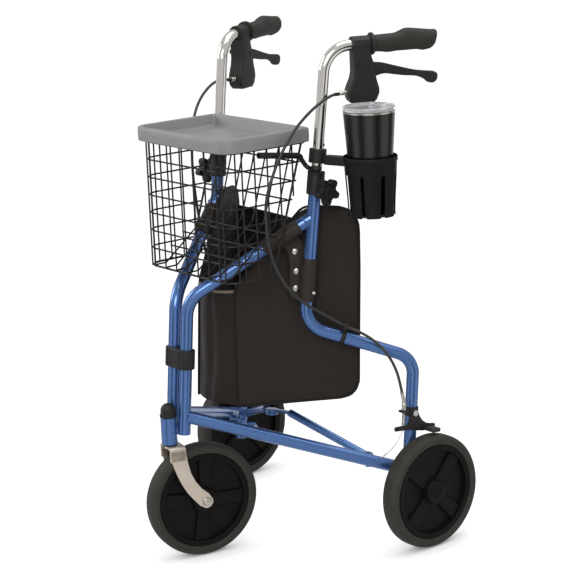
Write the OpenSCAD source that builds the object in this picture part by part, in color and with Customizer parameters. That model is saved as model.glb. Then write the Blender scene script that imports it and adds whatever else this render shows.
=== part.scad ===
// Three wheel rollator: two folding side frames on one caster, with handles, brakes, basket, bag and cup holder.
// Millimetres, +Z up, front at -Y, the user's left at +X, standing on Z = 0.

/* [Side frames] */
// Outside diameter of the painted frame tubes
tube_d = 22; // [20:0.5:24]
// Wall of the frame tubes
tube_wall = 1.5; // [1.2:0.1:2]
// Angle of each side frame from straight ahead
splay = 34.2; // [32:0.1:36]
// Rearward lean of the hinge line
lean = 5.2; // [4:0.1:6.5]
// Half the distance between the two front tubes
hinge_x = 17; // [16.5:0.5:19]
// Front tubes behind the caster stem
hinge_y = 19; // [18.5:0.5:22]
// Height of the datum on the hinge line
hinge_z = 220; // [215:1:225]
// Lower end of the front tube, along the hinge line
front_foot_w = 10; // [8:1:11]
// Where the front tube bends into the diagonal
front_bend_w = 246.5; // [240:0.5:254]
// Bend radius of the front tube
front_bend = 55; // [45:1:60]
// Where the diagonal meets the post
joint_w = 394; // [388:1:400]
// Distance of the post from the front tube at its lower bend
post_r = 203.5; // [198:0.5:208]
// Height of the post's lower bend
post_bend_w = 204; // [198:1:210]
// Bend radius at the foot of the post
post_bend = 45; // [38:1:50]
// Backward tilt of the post within its frame
post_tilt = 2.3; // [1.5:0.1:3]
// Upper end of the post
post_top_w = 467; // [462:1:470]
// Distance of the rear leg from the front tube
leg_r = 395; // [392:0.5:396]
// Height of the bend above the rear leg
leg_bend_w = 150; // [145:1:156]
// Bend radius above the rear leg
leg_bend = 38; // [33:1:42]
// Lower end of the rear leg
leg_foot_w = -100; // [-104:1:-96]
// Front end of the lower rail
rail_front_w = 42; // [41:0.5:45]
// Rear end of the lower rail
rail_rear_w = -51; // [-55:1:-47]

/* [Hinge and brace] */
// Height of the hinge clamp
clamp_h = 34; // [28:1:40]
// Middle of the hinge clamp
clamp_w = 143; // [138:1:148]
// Wall of the hinge clamp round the tubes
clamp_wall = 4.5; // [3.5:0.5:5]
// Head tube diameter
head_d = 28; // [26:0.5:29]
// Head tube height
head_h = 49; // [45:1:52]
// Height of the dome on the head tube
dome_h = 20; // [16:1:24]
// Thickness of the brace links
link_d = 14; // [12:0.5:15]
// Distance of the brace pivots along the rails
link_r = 327; // [320:1:332]
// Middle of the folding brace behind the stem
brace_y = 227; // [222:1:232]
// Height of the middle of the brace along the hinge line
brace_w = 19; // [16:1:22]

/* [Wheels and caster] */
// Wheel radius
wheel_r = 101.5; // [98:0.5:102]
// Tyre width
tyre_w = 33; // [31:0.5:33.5]
// Radius of the rim the tyre sits on
rim_r = 85; // [80:0.5:87]
// Radius of the wheel's middle boss
boss_r = 22; // [18:0.5:26]
// Spokes in a wheel
spoke_count = 5; // [4:1:6]
// Distance between the rear wheels
track = 538; // [538:1:542]
// Rear axles behind the stem
axle_y = 362; // [360:1:366]
// Axle bolt diameter
axle_d = 10; // [8:0.5:11]
// Caster trail
trail = 55; // [52:1:58]
// Angle the caster has turned
swivel = 13; // [8:1:18]
// Caster stem diameter
stem_d = 12; // [11:0.5:14]
// Fork plate thickness
fork_t = 4; // [3.5:0.5:4.5]

/* [Handles and brakes] */
// Wall of the chrome uprights
upright_wall = 1.5; // [1.2:0.1:2]
// Height where the grip line leaves the post line
grip_w = 682.5; // [676:0.5:690]
// Bend radius of the chrome upright
grip_bend = 48; // [42:1:49]
// Outward angle of the grips
grip_out = 22; // [18:1:25]
// Grip diameter
grip_d = 31; // [28:0.5:33]
// End of the grip from the post line
grip_end = 203; // [195:1:210]
// Length of the brake housing's clamp
housing_l = 34; // [32:1:36]
// Drop of the brake housing below the bar
housing_h = 100; // [92:1:106]
// Thickness of the brake housing
housing_t = 27; // [25:0.5:30]
// Reach of the brake lever from its pivot
lever_l = 122; // [116:1:128]
// Lever thickness
lever_t = 12; // [10:0.5:13]
// Height of the locking knobs above the foot of their collars
knob_w = 9; // [5:1:13]
// Star knob radius
knob_r = 24; // [20:0.5:26]
// Reach of the rear brake arm behind its pivot
arm_reach = 52; // [50:1:53]
// Height of the rear brake pivot along the leg
brake_w = 56; // [55:0.5:58]
// Brake cable diameter
cable_d = 5; // [4.5:0.1:5.2]

/* [Basket, tray and bag] */
// Tray width
tray_x = 268; // [260:1:270]
// Tray depth
tray_y = 185; // [178:1:188]
// Tray front edge behind the stem
tray_front = 48; // [46:1:52]
// Underside of the tray
tray_z = 724.5; // [724:0.5:728]
// Tray height
tray_h = 24; // [20:1:28]
// Tray corner radius
tray_corner = 30; // [24:1:34]
// Basket half width
basket_x = 122; // [121:0.5:122.5]
// Basket front behind the stem
basket_front = 60; // [58:1:61]
// Bottom of the basket's side walls
basket_z = 503; // [502:0.5:506]
// Basket wire diameter
wire_d = 3; // [2.4:0.1:3.2]
// Horizontal wires in the basket wall
level_count = 8; // [6:1:9]
// Upright wires across the basket front
column_count = 7; // [5:1:9]
// Thickness of the bag's stiffened side panels
bag_t = 5; // [4:0.5:6]

/* [Cup holder] */
// Cup holder centre outward of the upright
cup_x = 99; // [97:0.5:100]
// Cup holder centre behind the upright
cup_y = 31.5; // [30:0.5:34]
// Cup holder height
holder_h = 101; // [95:1:106]
// Underside of the cup holder
holder_z = 605; // [600:1:608]
// Cup holder radius at the rim
holder_r = 47; // [46:0.5:48]
// Cup holder radius at the floor
holder_foot_r = 40; // [39:0.5:41]
// Cup holder wall
holder_wall = 2.5; // [2:0.1:2.8]
// Tumbler height
tumbler_h = 172; // [160:1:180]
// Tumbler radius at the lid
tumbler_r = 43.5; // [42:0.5:44]

/* [Hidden] */
$fn = 48;

// Gaps and fits: overrun of every cut, running radial play, seated pieces, bodies that pass, wires side by side,
// and the skin and lap that join a bent tube's straight lengths to its bends
over = 2;
run_gap = 0.06;
seat_gap = 0.05;
pass_gap = 0.4;
hair = 0.1;
weld_skin = 0.25;
weld_lap = 1;

// Colours of the finishes
paint = [0.16, 0.33, 0.62];
chrome = [0.78, 0.77, 0.75];
nickel = [0.72, 0.67, 0.60];
black = [0.07, 0.07, 0.07];
rubber = [0.23, 0.23, 0.22];
grey = [0.55, 0.55, 0.56];
cloth = [0.16, 0.14, 0.13];

// The box of the part is centred on Y: front of the turned caster tyre to the back of the rear tyres
tyre_corner = 9;
tyre_front = (wheel_r - tyre_corner) * cos(swivel) + (tyre_w / 2 - tyre_corner) * sin(swivel) + tyre_corner;
front_y = trail * cos(swivel) - tyre_front;
rear_y = axle_y + wheel_r;
stem_y = -(front_y + rear_y) / 2;

// Places in a side frame: r away from the front tube, w up the hinge line, n outward from the frame's plane
function side_pt(r, w, n = 0) =
    let (x = hinge_x + r * sin(splay) + n * cos(splay))
    let (y = hinge_y + r * cos(splay) - n * sin(splay))
    [x, stem_y + y * cos(lean) + w * sin(lean), hinge_z + w * cos(lean) - y * sin(lean)];
function post_at(w, n = 0) = side_pt(post_r + (w - post_bend_w) * tan(post_tilt), w, n);
function leg_at(w) = side_pt(leg_r, w);
function rail_w(r) = rail_front_w + (rail_rear_w - rail_front_w) * r / leg_r;
function diagonal_w(r) = front_bend_w + (joint_w - front_bend_w) * r / joint_r;
function unit(v) = v / norm(v);
joint_r = post_r + (joint_w - post_bend_w) * tan(post_tilt);

// Directions along the post, the grip and the basket's way off
post_dir = unit(post_at(joint_w) - post_at(post_bend_w));
grip_dir = [sin(grip_out), cos(grip_out), 0];
grip_base = post_at(grip_w);
function grip_at(d) = grip_base + grip_dir * d;

// Round bars and bent tubes
module to_line(a, b) {
    v = b - a;
    translate(a) rotate([0, acos(v[2] / norm(v)), atan2(v[1], v[0])]) children();
}
module bar(a, b, d) {
    to_line(a, b) cylinder(d = d, h = norm(b - a));
}
module ring_section(d, wall) {
    difference() {
        circle(d = d);
        if (wall > 0) circle(d = d - 2 * wall);
    }
}
module elbow(p0, p1, p2, bend, d, wall) {
    a = unit(p1 - p0);
    b = unit(p2 - p1);
    turn = acos(a * b);
    n = unit(b - a * (a * b));
    c = p1 - a * bend * tan(turn / 2) + n * bend;
    k = cross(-n, a);
    multmatrix([[-n[0], a[0], k[0], c[0]], [-n[1], a[1], k[1], c[1]], [-n[2], a[2], k[2], c[2]], [0, 0, 0, 1]])
        rotate_extrude(angle = turn) translate([bend, 0])
            ring_section(d + 2 * weld_skin, wall > 0 ? wall + 2 * weld_skin : 0);
}
function turn_at(p, i) = acos(unit(p[i] - p[i - 1]) * unit(p[i + 1] - p[i]));
function cut_back(p, bends, i) = i == 0 || i == len(p) - 1 ? 0 : bends[i - 1] * tan(turn_at(p, i) / 2);
module bent_tube(p, bends, d, wall = 0) {
    for (i = [0 : len(p) - 2]) {
        u = unit(p[i + 1] - p[i]);
        a = p[i] + u * (cut_back(p, bends, i) - (i > 0 ? weld_lap : 0));
        b = p[i + 1] - u * (cut_back(p, bends, i + 1) - (i < len(p) - 2 ? weld_lap : 0));
        to_line(a, b) linear_extrude(norm(b - a)) ring_section(d, wall);
    }
    for (i = [1 : len(p) - 2])
        elbow(p[i - 1], p[i], p[i + 1], bends[i - 1], d, wall);
}
module mirrored() {
    mirror([1, 0, 0]) children();
}

// Local frames: hinge line, side frame, rear leg, post, grip bar and caster
module at_hinge() {
    translate([0, stem_y, hinge_z]) rotate([-lean, 0, 0]) translate([0, hinge_y, 0]) children();
}
module at_side() {
    at_hinge() translate([hinge_x, 0, 0]) rotate([0, 0, -splay]) children();
}
module at_leg(w) {
    translate(leg_at(w)) rotate([-lean, 0, 0]) children();
}
module at_post(w) {
    at_side() translate([0, post_r + (w - post_bend_w) * tan(post_tilt), w])
        rotate([-post_tilt, 0, 0]) rotate([0, 0, splay]) children();
}
module at_grip(d) {
    translate(grip_at(d)) rotate([0, 0, -grip_out]) children();
}
module at_caster() {
    translate([0, stem_y, 0]) rotate([0, 0, -swivel]) children();
}
module across() {
    rotate([0, 90, 0]) children();
}

// Side frame tubes
module front_tube() {
    color(paint) difference() {
        bent_tube([side_pt(0, front_foot_w), side_pt(0, front_bend_w), side_pt(joint_r, joint_w)],
            [front_bend], tube_d, tube_wall);
        bar(post_at(post_bend_w), post_at(post_top_w), tube_d + 2 * seat_gap);
    }
}
module post_tube() {
    color(paint) bent_tube([post_at(post_top_w), post_at(post_bend_w), leg_at(leg_bend_w), leg_at(leg_foot_w)],
        [post_bend, leg_bend], tube_d, tube_wall);
}

// The lower rail carries the pivot tab of its brace link
tab_t = 5;
tab_n = 25;
tab_w = 16;
pin_d = 7;
link_w = rail_w(link_r);
tab_top = link_w - link_d / 2 - pass_gap;
module lower_rail() {
    color(paint) {
        difference() {
            union() {
                to_line(side_pt(0, rail_front_w), leg_at(rail_rear_w))
                    linear_extrude(norm(leg_at(rail_rear_w) - side_pt(0, rail_front_w))) ring_section(tube_d, tube_wall);
                at_side() translate([-tab_n, link_r, tab_top - tab_t])
                    translate([0, -tab_w / 2, 0]) cube([tab_n, tab_w, tab_t]);
                at_side() translate([-tab_n, link_r, tab_top - tab_t]) cylinder(d = tab_w, h = tab_t);
            }
            bar(side_pt(0, front_foot_w), side_pt(0, front_bend_w), tube_d + 2 * seat_gap);
            bar(leg_at(leg_foot_w), leg_at(leg_bend_w), tube_d + 2 * seat_gap);
        }
        at_side() translate([-tab_n, link_r, tab_top - tab_t])
            cylinder(d = pin_d, h = tab_t + pass_gap + link_d + over);
    }
}

// Folding brace: each link turns on its rail's pin, and the two eyes lie one over the other in the middle
eye_d = 22;
eye_t = 5;
tongue_l = 36;
tongue_w = 11;
link_pin = [-tab_n, link_r, link_w];
brace_mid = [0, brace_y - hinge_y, brace_w];
function hinge_pt(p) = [p[0], stem_y + (p[1] + hinge_y) * cos(lean) + p[2] * sin(lean),
    hinge_z + p[2] * cos(lean) - (p[1] + hinge_y) * sin(lean)];
link_x = hinge_x + link_r * sin(splay) - tab_n * cos(splay);
link_y = link_r * cos(splay) + tab_n * sin(splay);
link_turn = atan2(link_y - brace_mid[1], link_x);
module brace_link(layer) {
    tongue_end = tongue_l * [cos(link_turn), sin(link_turn), 0];
    color(paint) difference() {
        union() {
            bar(side_pt(link_r, link_w, -tab_n), hinge_pt(brace_mid + tongue_end + [0, 0, layer]), link_d);
            at_side() translate(link_pin) cylinder(d = tab_w, h = link_d, center = true);
            at_hinge() translate(brace_mid + [0, 0, layer]) rotate([0, 0, link_turn]) {
                rotate([0, 0, 180]) cylinder(d = eye_d, h = eye_t, center = true);
                translate([0, -tongue_w / 2, -eye_t / 2]) cube([tongue_l + over, tongue_w, eye_t]);
            }
        }
        at_side() translate(link_pin) cylinder(d = pin_d + 2 * run_gap, h = 2 * link_d, center = true);
    }
}
layer_up = (eye_t + pass_gap) / 2;

// Head tube with its bushes, cap, gusset and lower hinge ring
head_z = 212;
head_wall = 2;
ring_wall_t = 4.2;
ring_d = tube_d + 2 * ring_wall_t;
ring_h = 13;
web_t = 6;
web_h = 20;
front_foot = side_pt(0, front_foot_w + web_h / 2);
web_l = norm([front_foot[0], front_foot[1] - stem_y]);
web_turn = atan2(front_foot[1] - stem_y, front_foot[0]);
module head_tube() {
    color(paint) difference() {
        union() {
            translate([0, stem_y, head_z]) cylinder(d = head_d, h = head_h);
            at_hinge() translate([-hinge_x, 0, front_foot_w]) cylinder(d = ring_d, h = ring_h);
            for (side = [web_turn, 180 - web_turn])
                translate([0, stem_y, front_foot[2] - web_h / 2]) rotate([0, 0, side])
                    translate([0, -web_t / 2, 0]) cube([web_l, web_t, ring_h]);
        }
        translate([0, stem_y, head_z - over]) cylinder(d = head_d - 2 * head_wall, h = head_h + 2 * over);
        at_hinge() translate([-hinge_x, 0, front_foot_w - head_h])
            cylinder(d = tube_d + 2 * run_gap, h = 2 * head_h);
        at_hinge() translate([hinge_x, 0, front_foot_w - head_h])
            cylinder(d = tube_d + 2 * seat_gap, h = 2 * head_h);
    }
}
bush_h = 12;
bush_lip = 2;
module stem_bushes() {
    color(black) for (top = [0, 1])
        translate([0, stem_y, head_z + top * (head_h - bush_h)]) difference() {
            union() {
                translate([0, 0, (top - 1) * bush_lip])
                    cylinder(d = head_d - 2 * head_wall - 2 * seat_gap, h = bush_h + (1 - top) * bush_lip);
                if (top == 0) translate([0, 0, -bush_lip]) cylinder(d = head_d - head_wall, h = bush_lip - seat_gap);
            }
            translate([0, 0, -bush_lip - over])
                cylinder(d = stem_d + 2 * run_gap, h = bush_h + bush_lip + 2 * over);
        }
}
cap_lip = 4;
cap_over = 1.5;
module head_cap() {
    dome_r = head_d / 2 - cap_over / 2;
    color(black) translate([0, stem_y, head_z + head_h + seat_gap]) {
        cylinder(d = head_d + cap_over, h = cap_lip);
        translate([0, 0, cap_lip]) cylinder(r = dome_r, h = dome_h - dome_r);
        translate([0, 0, cap_lip + dome_h - dome_r]) intersection() {
            sphere(r = dome_r);
            cylinder(r = dome_r + over, h = dome_r + over);
        }
    }
}

// Hinge clamp: fast on the left front tube, the right tube turns in it
clamp_d = tube_d + 2 * clamp_wall;
screw_d = 6;
screw_l = 5.2;
screw_places_shares = [[-0.5, 0.28], [-0.5, -0.28], [0.5, -0.12]];
module hinge_clamp() {
    color(black) at_hinge() translate([0, 0, clamp_w - clamp_h / 2]) difference() {
        union() {
            for (s = [-1, 1]) translate([s * hinge_x, 0, 0]) cylinder(d = clamp_d, h = clamp_h);
            translate([-hinge_x, -clamp_d / 2, 0]) cube([2 * hinge_x, clamp_d, clamp_h]);
        }
        translate([-hinge_x, 0, -over]) cylinder(d = tube_d + 2 * run_gap, h = clamp_h + 2 * over);
        translate([hinge_x, 0, -over]) cylinder(d = tube_d + 2 * seat_gap, h = clamp_h + 2 * over);
        for (q = screw_places_shares) translate([q[0] * hinge_x, -clamp_d / 2 - over, (q[1] + 0.5) * clamp_h])
            rotate([-90, 0, 0]) cylinder(d = screw_d + 2 * seat_gap, h = screw_l + over - seat_gap * 2);
    }
}
module hinge_clamp_screws() {
    color(black) at_hinge() for (q = screw_places_shares)
        translate([q[0] * hinge_x, -clamp_d / 2 + seat_gap, clamp_w + q[1] * clamp_h])
            rotate([-90, 0, 0]) cylinder(d = screw_d, h = screw_l - 4 * seat_gap);
}

// Rear axle plate, welded to the foot of the leg, with the boss the wheel runs against
plate_t = 6;
plate_h = 26;
plate_boss_d = 24;
wheel_x = track / 2;
hub_out = 2.5;
hub_in_x = wheel_x - tyre_w / 2 - hub_out;
leg_foot = leg_at((leg_foot_w + rail_rear_w) / 2);
module axle_plate() {
    color(paint) difference() {
        union() {
            translate([leg_foot[0] - plate_t / 2, leg_foot[1], wheel_r - plate_h / 2])
                cube([plate_t, stem_y + axle_y - leg_foot[1], plate_h]);
            translate([leg_foot[0] - plate_t, stem_y + axle_y, wheel_r])
                across() cylinder(d = plate_boss_d, h = hub_in_x - pass_gap - leg_foot[0] + plate_t);
        }
        bar(leg_at(leg_foot_w - plate_h), leg_at(leg_bend_w), tube_d + 2 * seat_gap);
        translate([leg_foot[0] - plate_t - over, stem_y + axle_y, wheel_r])
            across() cylinder(d = axle_d + 2 * seat_gap, h = track);
    }
}
bolt_head_h = 6;
bolt_head_d = 17;
bolt_end_h = 12;
module axle_bolt() {
    head_x = leg_foot[0] - plate_t - seat_gap;
    color(chrome) translate([head_x, stem_y + axle_y, wheel_r]) across() {
        cylinder(d = axle_d, h = wheel_x + bolt_end_h - head_x);
        translate([0, 0, -bolt_head_h]) cylinder(d = bolt_head_d, h = bolt_head_h, $fn = 6);
    }
}

// Wheels: a rubber tyre on a one-piece spoked hub, turning about local Z
rim_in = 9;
rim_half = 13.5;
web_half = 3;
spoke_w = 15;
spoke_half = 9;
module tyre() {
    color(rubber) rotate_extrude() difference() {
        union() {
            translate([rim_r, -tyre_w / 2]) square([wheel_r - tyre_corner - rim_r, tyre_w]);
            translate([rim_r, -tyre_w / 2 + tyre_corner]) square([wheel_r - rim_r, tyre_w - 2 * tyre_corner]);
            for (s = [-1, 1]) translate([wheel_r - tyre_corner, s * (tyre_w / 2 - tyre_corner)]) circle(r = tyre_corner);
        }
        translate([0, -tyre_w]) square([rim_r, 2 * tyre_w]);
    }
}
rim_play = 0.25;
rear_hub_turn = 27;
front_hub_turn = 16;
module hub(half, bore_from, bore_to) {
    color(black) difference() {
        union() {
            rotate_extrude() {
                translate([rim_r - rim_in, -rim_half]) square([rim_in - rim_play, 2 * rim_half]);
                translate([0, -web_half]) square([rim_r - rim_in / 2, 2 * web_half]);
            }
            translate([0, 0, -half]) cylinder(r = boss_r, h = 2 * half);
            for (i = [0 : spoke_count - 1]) rotate([0, 0, i * 360 / spoke_count])
                translate([0, -spoke_w / 2, -spoke_half]) cube([rim_r - rim_in / 2, spoke_w, 2 * spoke_half]);
        }
        translate([0, 0, bore_from]) cylinder(d = axle_d + 2 * run_gap, h = bore_to - bore_from);
    }
}
module at_rear_wheel() {
    translate([wheel_x, stem_y + axle_y, wheel_r]) across() children();
}
rear_half = tyre_w / 2 + hub_out;
module rear_tyre() {
    at_rear_wheel() tyre();
}
module rear_hub() {
    at_rear_wheel() rotate([0, 0, rear_hub_turn]) hub(rear_half, -rear_half - over, bolt_end_h + pass_gap);
}

// Caster fork: a pressed crown with two arms that sweep back to the axle
front_half = tyre_w / 2 + hub_out;
crown_t = 5;
crown_z = head_z - bush_lip - crown_t - pass_gap;
arm_front_shares = [[-0.16, 1], [-0.14, 0.85], [-0.04, 0.68], [0.18, 0.36], [0.54, 0.09], [0.8, -0.09]];
arm_back_shares = [[1.16, 0.1], [0.98, 0.17], [0.62, 0.36], [0.44, 0.62], [0.38, 0.85], [0.36, 1]];
arm_end_r = 12;
neck_d = 20;
module fork_arm_outline() {
    rise = crown_z + crown_t - wheel_r;
    polygon([for (q = concat(arm_front_shares, arm_back_shares)) [q[0] * trail, q[1] * rise]]);
    translate([trail, 0]) circle(r = arm_end_r);
}
module front_fork() {
    arm_x = front_half + pass_gap;
    crown_y0 = arm_front_shares[0][0] * trail;
    crown_y1 = arm_back_shares[5][0] * trail;
    color(nickel) at_caster() difference() {
        union() {
            for (x = [-arm_x - fork_t, arm_x]) translate([x, 0, wheel_r])
                rotate([90, 0, 90]) linear_extrude(fork_t) fork_arm_outline();
            translate([-arm_x - fork_t, crown_y0, crown_z])
                cube([2 * arm_x + 2 * fork_t, crown_y1 - crown_y0, crown_t]);
            translate([0, 0, crown_z]) cylinder(d = stem_d, h = head_z + head_h - crown_z);
        }
        translate([-front_half - track, trail, wheel_r]) across()
            cylinder(d = axle_d + 2 * seat_gap, h = 2 * track);
    }
}
module front_axle_bolt() {
    half = front_half + pass_gap + fork_t + seat_gap;
    color(chrome) at_caster() translate([-half, trail, wheel_r]) across() {
        cylinder(d = axle_d, h = 2 * half);
        translate([0, 0, -bolt_head_h]) cylinder(d = bolt_head_d, h = bolt_head_h, $fn = 6);
        translate([0, 0, 2 * half]) cylinder(d = bolt_head_d, h = bolt_head_h);
    }
}
module front_tyre() {
    at_caster() translate([0, trail, wheel_r]) across() tyre();
}
module front_hub() {
    at_caster() translate([0, trail, wheel_r]) across() rotate([0, 0, front_hub_turn])
        hub(front_half, -front_half - over, front_half + over);
}

// Collar at the top of the post, with the boss and star knob that lock the upright
collar_wall = 4;
collar_h = 40;
collar_lip = 6;
collar_d = tube_d + 2 * collar_wall;
boss_d = 17;
boss_l = 9;
stud_d = 8;
upright_d = tube_d - 2 * tube_wall - 2 * run_gap;
collar_top = post_top_w + collar_lip;
knob_at = collar_top - collar_h + knob_w;
module post_collar() {
    color(black) difference() {
        union() {
            at_post(collar_top - collar_h) cylinder(d = collar_d, h = collar_h);
            at_post(knob_at) across() cylinder(d = boss_d, h = collar_d / 2 + boss_l);
        }
        at_post(collar_top - collar_h - over)
            cylinder(d = tube_d + 2 * seat_gap, h = collar_h + over - collar_lip + seat_gap);
        at_post(collar_top - collar_lip - over) cylinder(d = upright_d + 2 * pass_gap, h = collar_lip + 2 * over);
        at_post(knob_at) translate([tube_d / 2 + over / 2, 0, 0]) across()
            cylinder(d = stud_d + 2 * run_gap, h = collar_d);
    }
}
lobe_count = 5;
lobe_r = 7;
knob_t = 14;
knob_hub_r = 15;
module height_knob() {
    face = collar_d / 2 + boss_l + pass_gap;
    color(black) at_post(knob_at) across() {
        translate([0, 0, tube_d / 2 + over]) cylinder(d = stud_d, h = face - tube_d / 2);
        translate([0, 0, face]) linear_extrude(knob_t) {
            circle(r = knob_hub_r);
            for (i = [0 : lobe_count - 1]) rotate(i * 360 / lobe_count) {
                translate([knob_r - lobe_r, 0]) circle(r = lobe_r);
                translate([0, -lobe_r]) square([knob_r - lobe_r, 2 * lobe_r]);
            }
        }
    }
}

// Chrome upright, which slides in the post and bends back into the grip bar
upright_foot_w = 310;
bar_end = grip_end - 8;
module upright() {
    color(chrome) bent_tube([post_at(upright_foot_w), grip_base, grip_at(bar_end)], [grip_bend], upright_d, upright_wall);
}

// Brake housing: a clamp on the bar and a body that hangs from it, slotted for the lever
housing_start = 44;
ring_wall = 5;
housing_shares = [[0.03, 0], [0.03, -0.45], [-0.3, -0.72], [-0.3, -0.9], [0, -1], [1, -1],
    [1.35, -0.8], [1.2, -0.55], [1.15, -0.33], [0.97, -0.2], [0.97, 0]];
barrel_drop_share = 0.8;
lever_drop = 38;
lever_slot_gap = 0.8;
lever_pin_d = 6;
lever_back = 4;
slot_back = 11;
slot_half = 15;
module housing_outline() {
    polygon([for (q = housing_shares) [q[0] * housing_l, q[1] * housing_h]]);
}
lever_y = housing_l - lever_back;
module lever_slot() {
    slot = lever_t + 2 * lever_slot_gap;
    translate([-slot / 2, lever_y - slot_back, -lever_drop - slot_half]) cube([slot, housing_l, 2 * slot_half]);
}
module brake_housing() {
    color(black) at_grip(housing_start) {
        difference() {
            union() {
                rotate([-90, 0, 0]) cylinder(d = upright_d + 2 * ring_wall, h = housing_l);
                translate([housing_t / 2, 0, 0]) rotate([90, 0, -90]) mirror([1, 0, 0])
                    linear_extrude(housing_t) housing_outline();
            }
            translate([0, -over, 0]) rotate([-90, 0, 0]) cylinder(d = upright_d + 2 * seat_gap, h = housing_l + 2 * over);
            lever_slot();
        }
        translate([-housing_t / 2, lever_y, -lever_drop]) across() cylinder(d = lever_pin_d, h = housing_t);
        translate([0, housing_shares[2][0] * housing_l + over, -barrel_drop_share * housing_h])
            rotate([90, 0, 0]) cylinder(d = barrel_d, h = barrel_h);
    }
}

// Brake lever: pivots in the housing and is squeezed up towards the grip
lever_shares = [[-0.05, 0.055], [0.2, 0.04], [0.55, -0.07], [0.78, -0.12], [1, -0.13], [1.02, -0.22], [0.92, -0.28],
    [0.8, -0.23], [0.5, -0.16], [0.2, -0.1], [0.1, -0.08], [-0.05, -0.055]];
lever_end_r = 9;
lever_swell = 1;
module brake_lever() {
    end_y = lever_l * lever_shares[5][0] - lever_end_r - over;
    color(black) at_grip(housing_start) translate([0, lever_y, -lever_drop]) difference() {
        union() {
            translate([lever_t / 2, 0, 0]) rotate([90, 0, -90]) mirror([1, 0, 0]) linear_extrude(lever_t)
                polygon([for (q = lever_shares) q * lever_l]);
            translate([-lever_t / 2 - lever_swell, end_y, lever_l * lever_shares[5][1]]) across()
                cylinder(r = lever_end_r, h = lever_t + 2 * lever_swell);
        }
        translate([-lever_t, 0, 0]) across() cylinder(d = lever_pin_d + 2 * run_gap, h = 2 * lever_t);
    }
}

// Rubber grip with a flange at its front and a raised palm rest
flange_d = 38;
flange_t = 6;
grip_start = housing_start + housing_l + seat_gap;
palm_l = 60;
palm_rise = 7;
palm_w = 24;
palm_share = 0.62;
grip_round = 6;
module grip() {
    length = grip_end - grip_start;
    palm_r = (palm_l * palm_l / 4 + palm_rise * palm_rise) / (2 * palm_rise);
    color(black) at_grip(grip_start) difference() {
        union() {
            rotate([-90, 0, 0]) rotate_extrude() {
                square([flange_d / 2, flange_t]);
                square([grip_d / 2, length - grip_round]);
                square([grip_d / 2 - grip_round, length]);
                translate([grip_d / 2 - grip_round, length - grip_round]) circle(r = grip_round);
            }
            intersection() {
                translate([0, length * palm_share, grip_d / 2 + palm_rise - palm_r]) across()
                    cylinder(r = palm_r, h = palm_w, center = true);
                translate([-palm_w / 2, 0, 0]) cube([palm_w, length - grip_round, grip_d]);
            }
        }
        translate([0, -over, 0]) rotate([-90, 0, 0])
            cylinder(d = upright_d + 2 * seat_gap, h = bar_end + over + seat_gap - grip_start);
    }
}

// Rear brake: a band on the leg, a pivoted arm with the tyre shoe, a cable barrel and a return spring
band_h = 16;
band_wall = 1.5;
band_d = tube_d + 2 * band_wall;
arm_x = 15;
arm_t = 4;
pivot_y = -8;
cable_y = -32;
stop_w = brake_w + 8;
stop_t = 4;
stop_l = 14;
pivot_d = 6;
barrel_d = 8;
barrel_h = 14;
inner_d = 1.6;
module brake_bracket() {
    color(black) difference() {
        union() {
            at_leg(brake_w) cylinder(d = band_d, h = band_h, center = true);
            at_leg(brake_w) translate([0, pivot_y, 0]) across()
                cylinder(d = band_h - over, h = arm_x - arm_t / 2 - pass_gap);
            at_leg(stop_w - stop_t) translate([0, cable_y - stop_l / 2, 0]) {
                cube([arm_x - arm_t / 2 - pass_gap, stop_l / 2 - cable_y, stop_t]);
                cube([arm_x + stop_l / 2, stop_l, stop_t]);
            }
        }
        at_leg(brake_w - band_h) cylinder(d = tube_d + 2 * seat_gap, h = 2 * band_h);
        at_leg(stop_w - band_h) translate([arm_x, cable_y, 0]) cylinder(d = barrel_d / 2 + 2 * seat_gap, h = 2 * band_h);
        at_leg(brake_w) translate([tube_d / 2, pivot_y, 0]) across() cylinder(d = pivot_d + 2 * seat_gap, h = track);
    }
}
module brake_hardware() {
    color(chrome) {
        at_leg(brake_w) translate([tube_d / 2 + seat_gap, pivot_y, 0]) across() {
            cylinder(d = pivot_d, h = arm_x + arm_t / 2 + pass_gap - tube_d / 2);
            translate([0, 0, arm_x + arm_t / 2 + pass_gap - tube_d / 2]) cylinder(d = 2 * pivot_d, h = stop_t);
        }
        at_leg(stop_w + seat_gap) translate([arm_x, cable_y, 0]) cylinder(d = barrel_d, h = barrel_h);
        at_leg(stop_w - stop_t) translate([arm_x, cable_y, 0]) cylinder(d = barrel_d / 2, h = stop_t + over);
    }
}
arm_drop = 36;
arm_shares = [[-0.81, -0.57], [-0.81, -0.78], [-0.12, -0.83], [0.42, -0.97], [0.85, -0.97], [1, -0.86], [1, -0.7],
    [0.58, -0.62], [0.19, -0.17], [0.15, 0.19], [-0.15, 0.19], [-0.15, -0.17], [-0.23, -0.55]];
shoe_w = 26;
shoe_from_share = 0.5;
shoe_to_share = 0.86;
shoe_h = 7;
module brake_arm() {
    color(black) at_leg(brake_w) difference() {
        union() {
            translate([arm_x - arm_t / 2, pivot_y, 0]) rotate([90, 0, 90]) linear_extrude(arm_t)
                polygon([for (q = arm_shares) [q[0] * arm_reach, q[1] * arm_drop]]);
            translate([arm_x - arm_t / 2, pivot_y + shoe_from_share * arm_reach, arm_shares[3][1] * arm_drop])
                cube([shoe_w, (shoe_to_share - shoe_from_share) * arm_reach, shoe_h]);
        }
        translate([0, pivot_y, 0]) across() cylinder(d = pivot_d + 2 * run_gap, h = 2 * arm_x);
        translate([arm_x, cable_y, -arm_drop]) cylinder(d = inner_d + 2 * pass_gap, h = arm_drop);
    }
}

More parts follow.
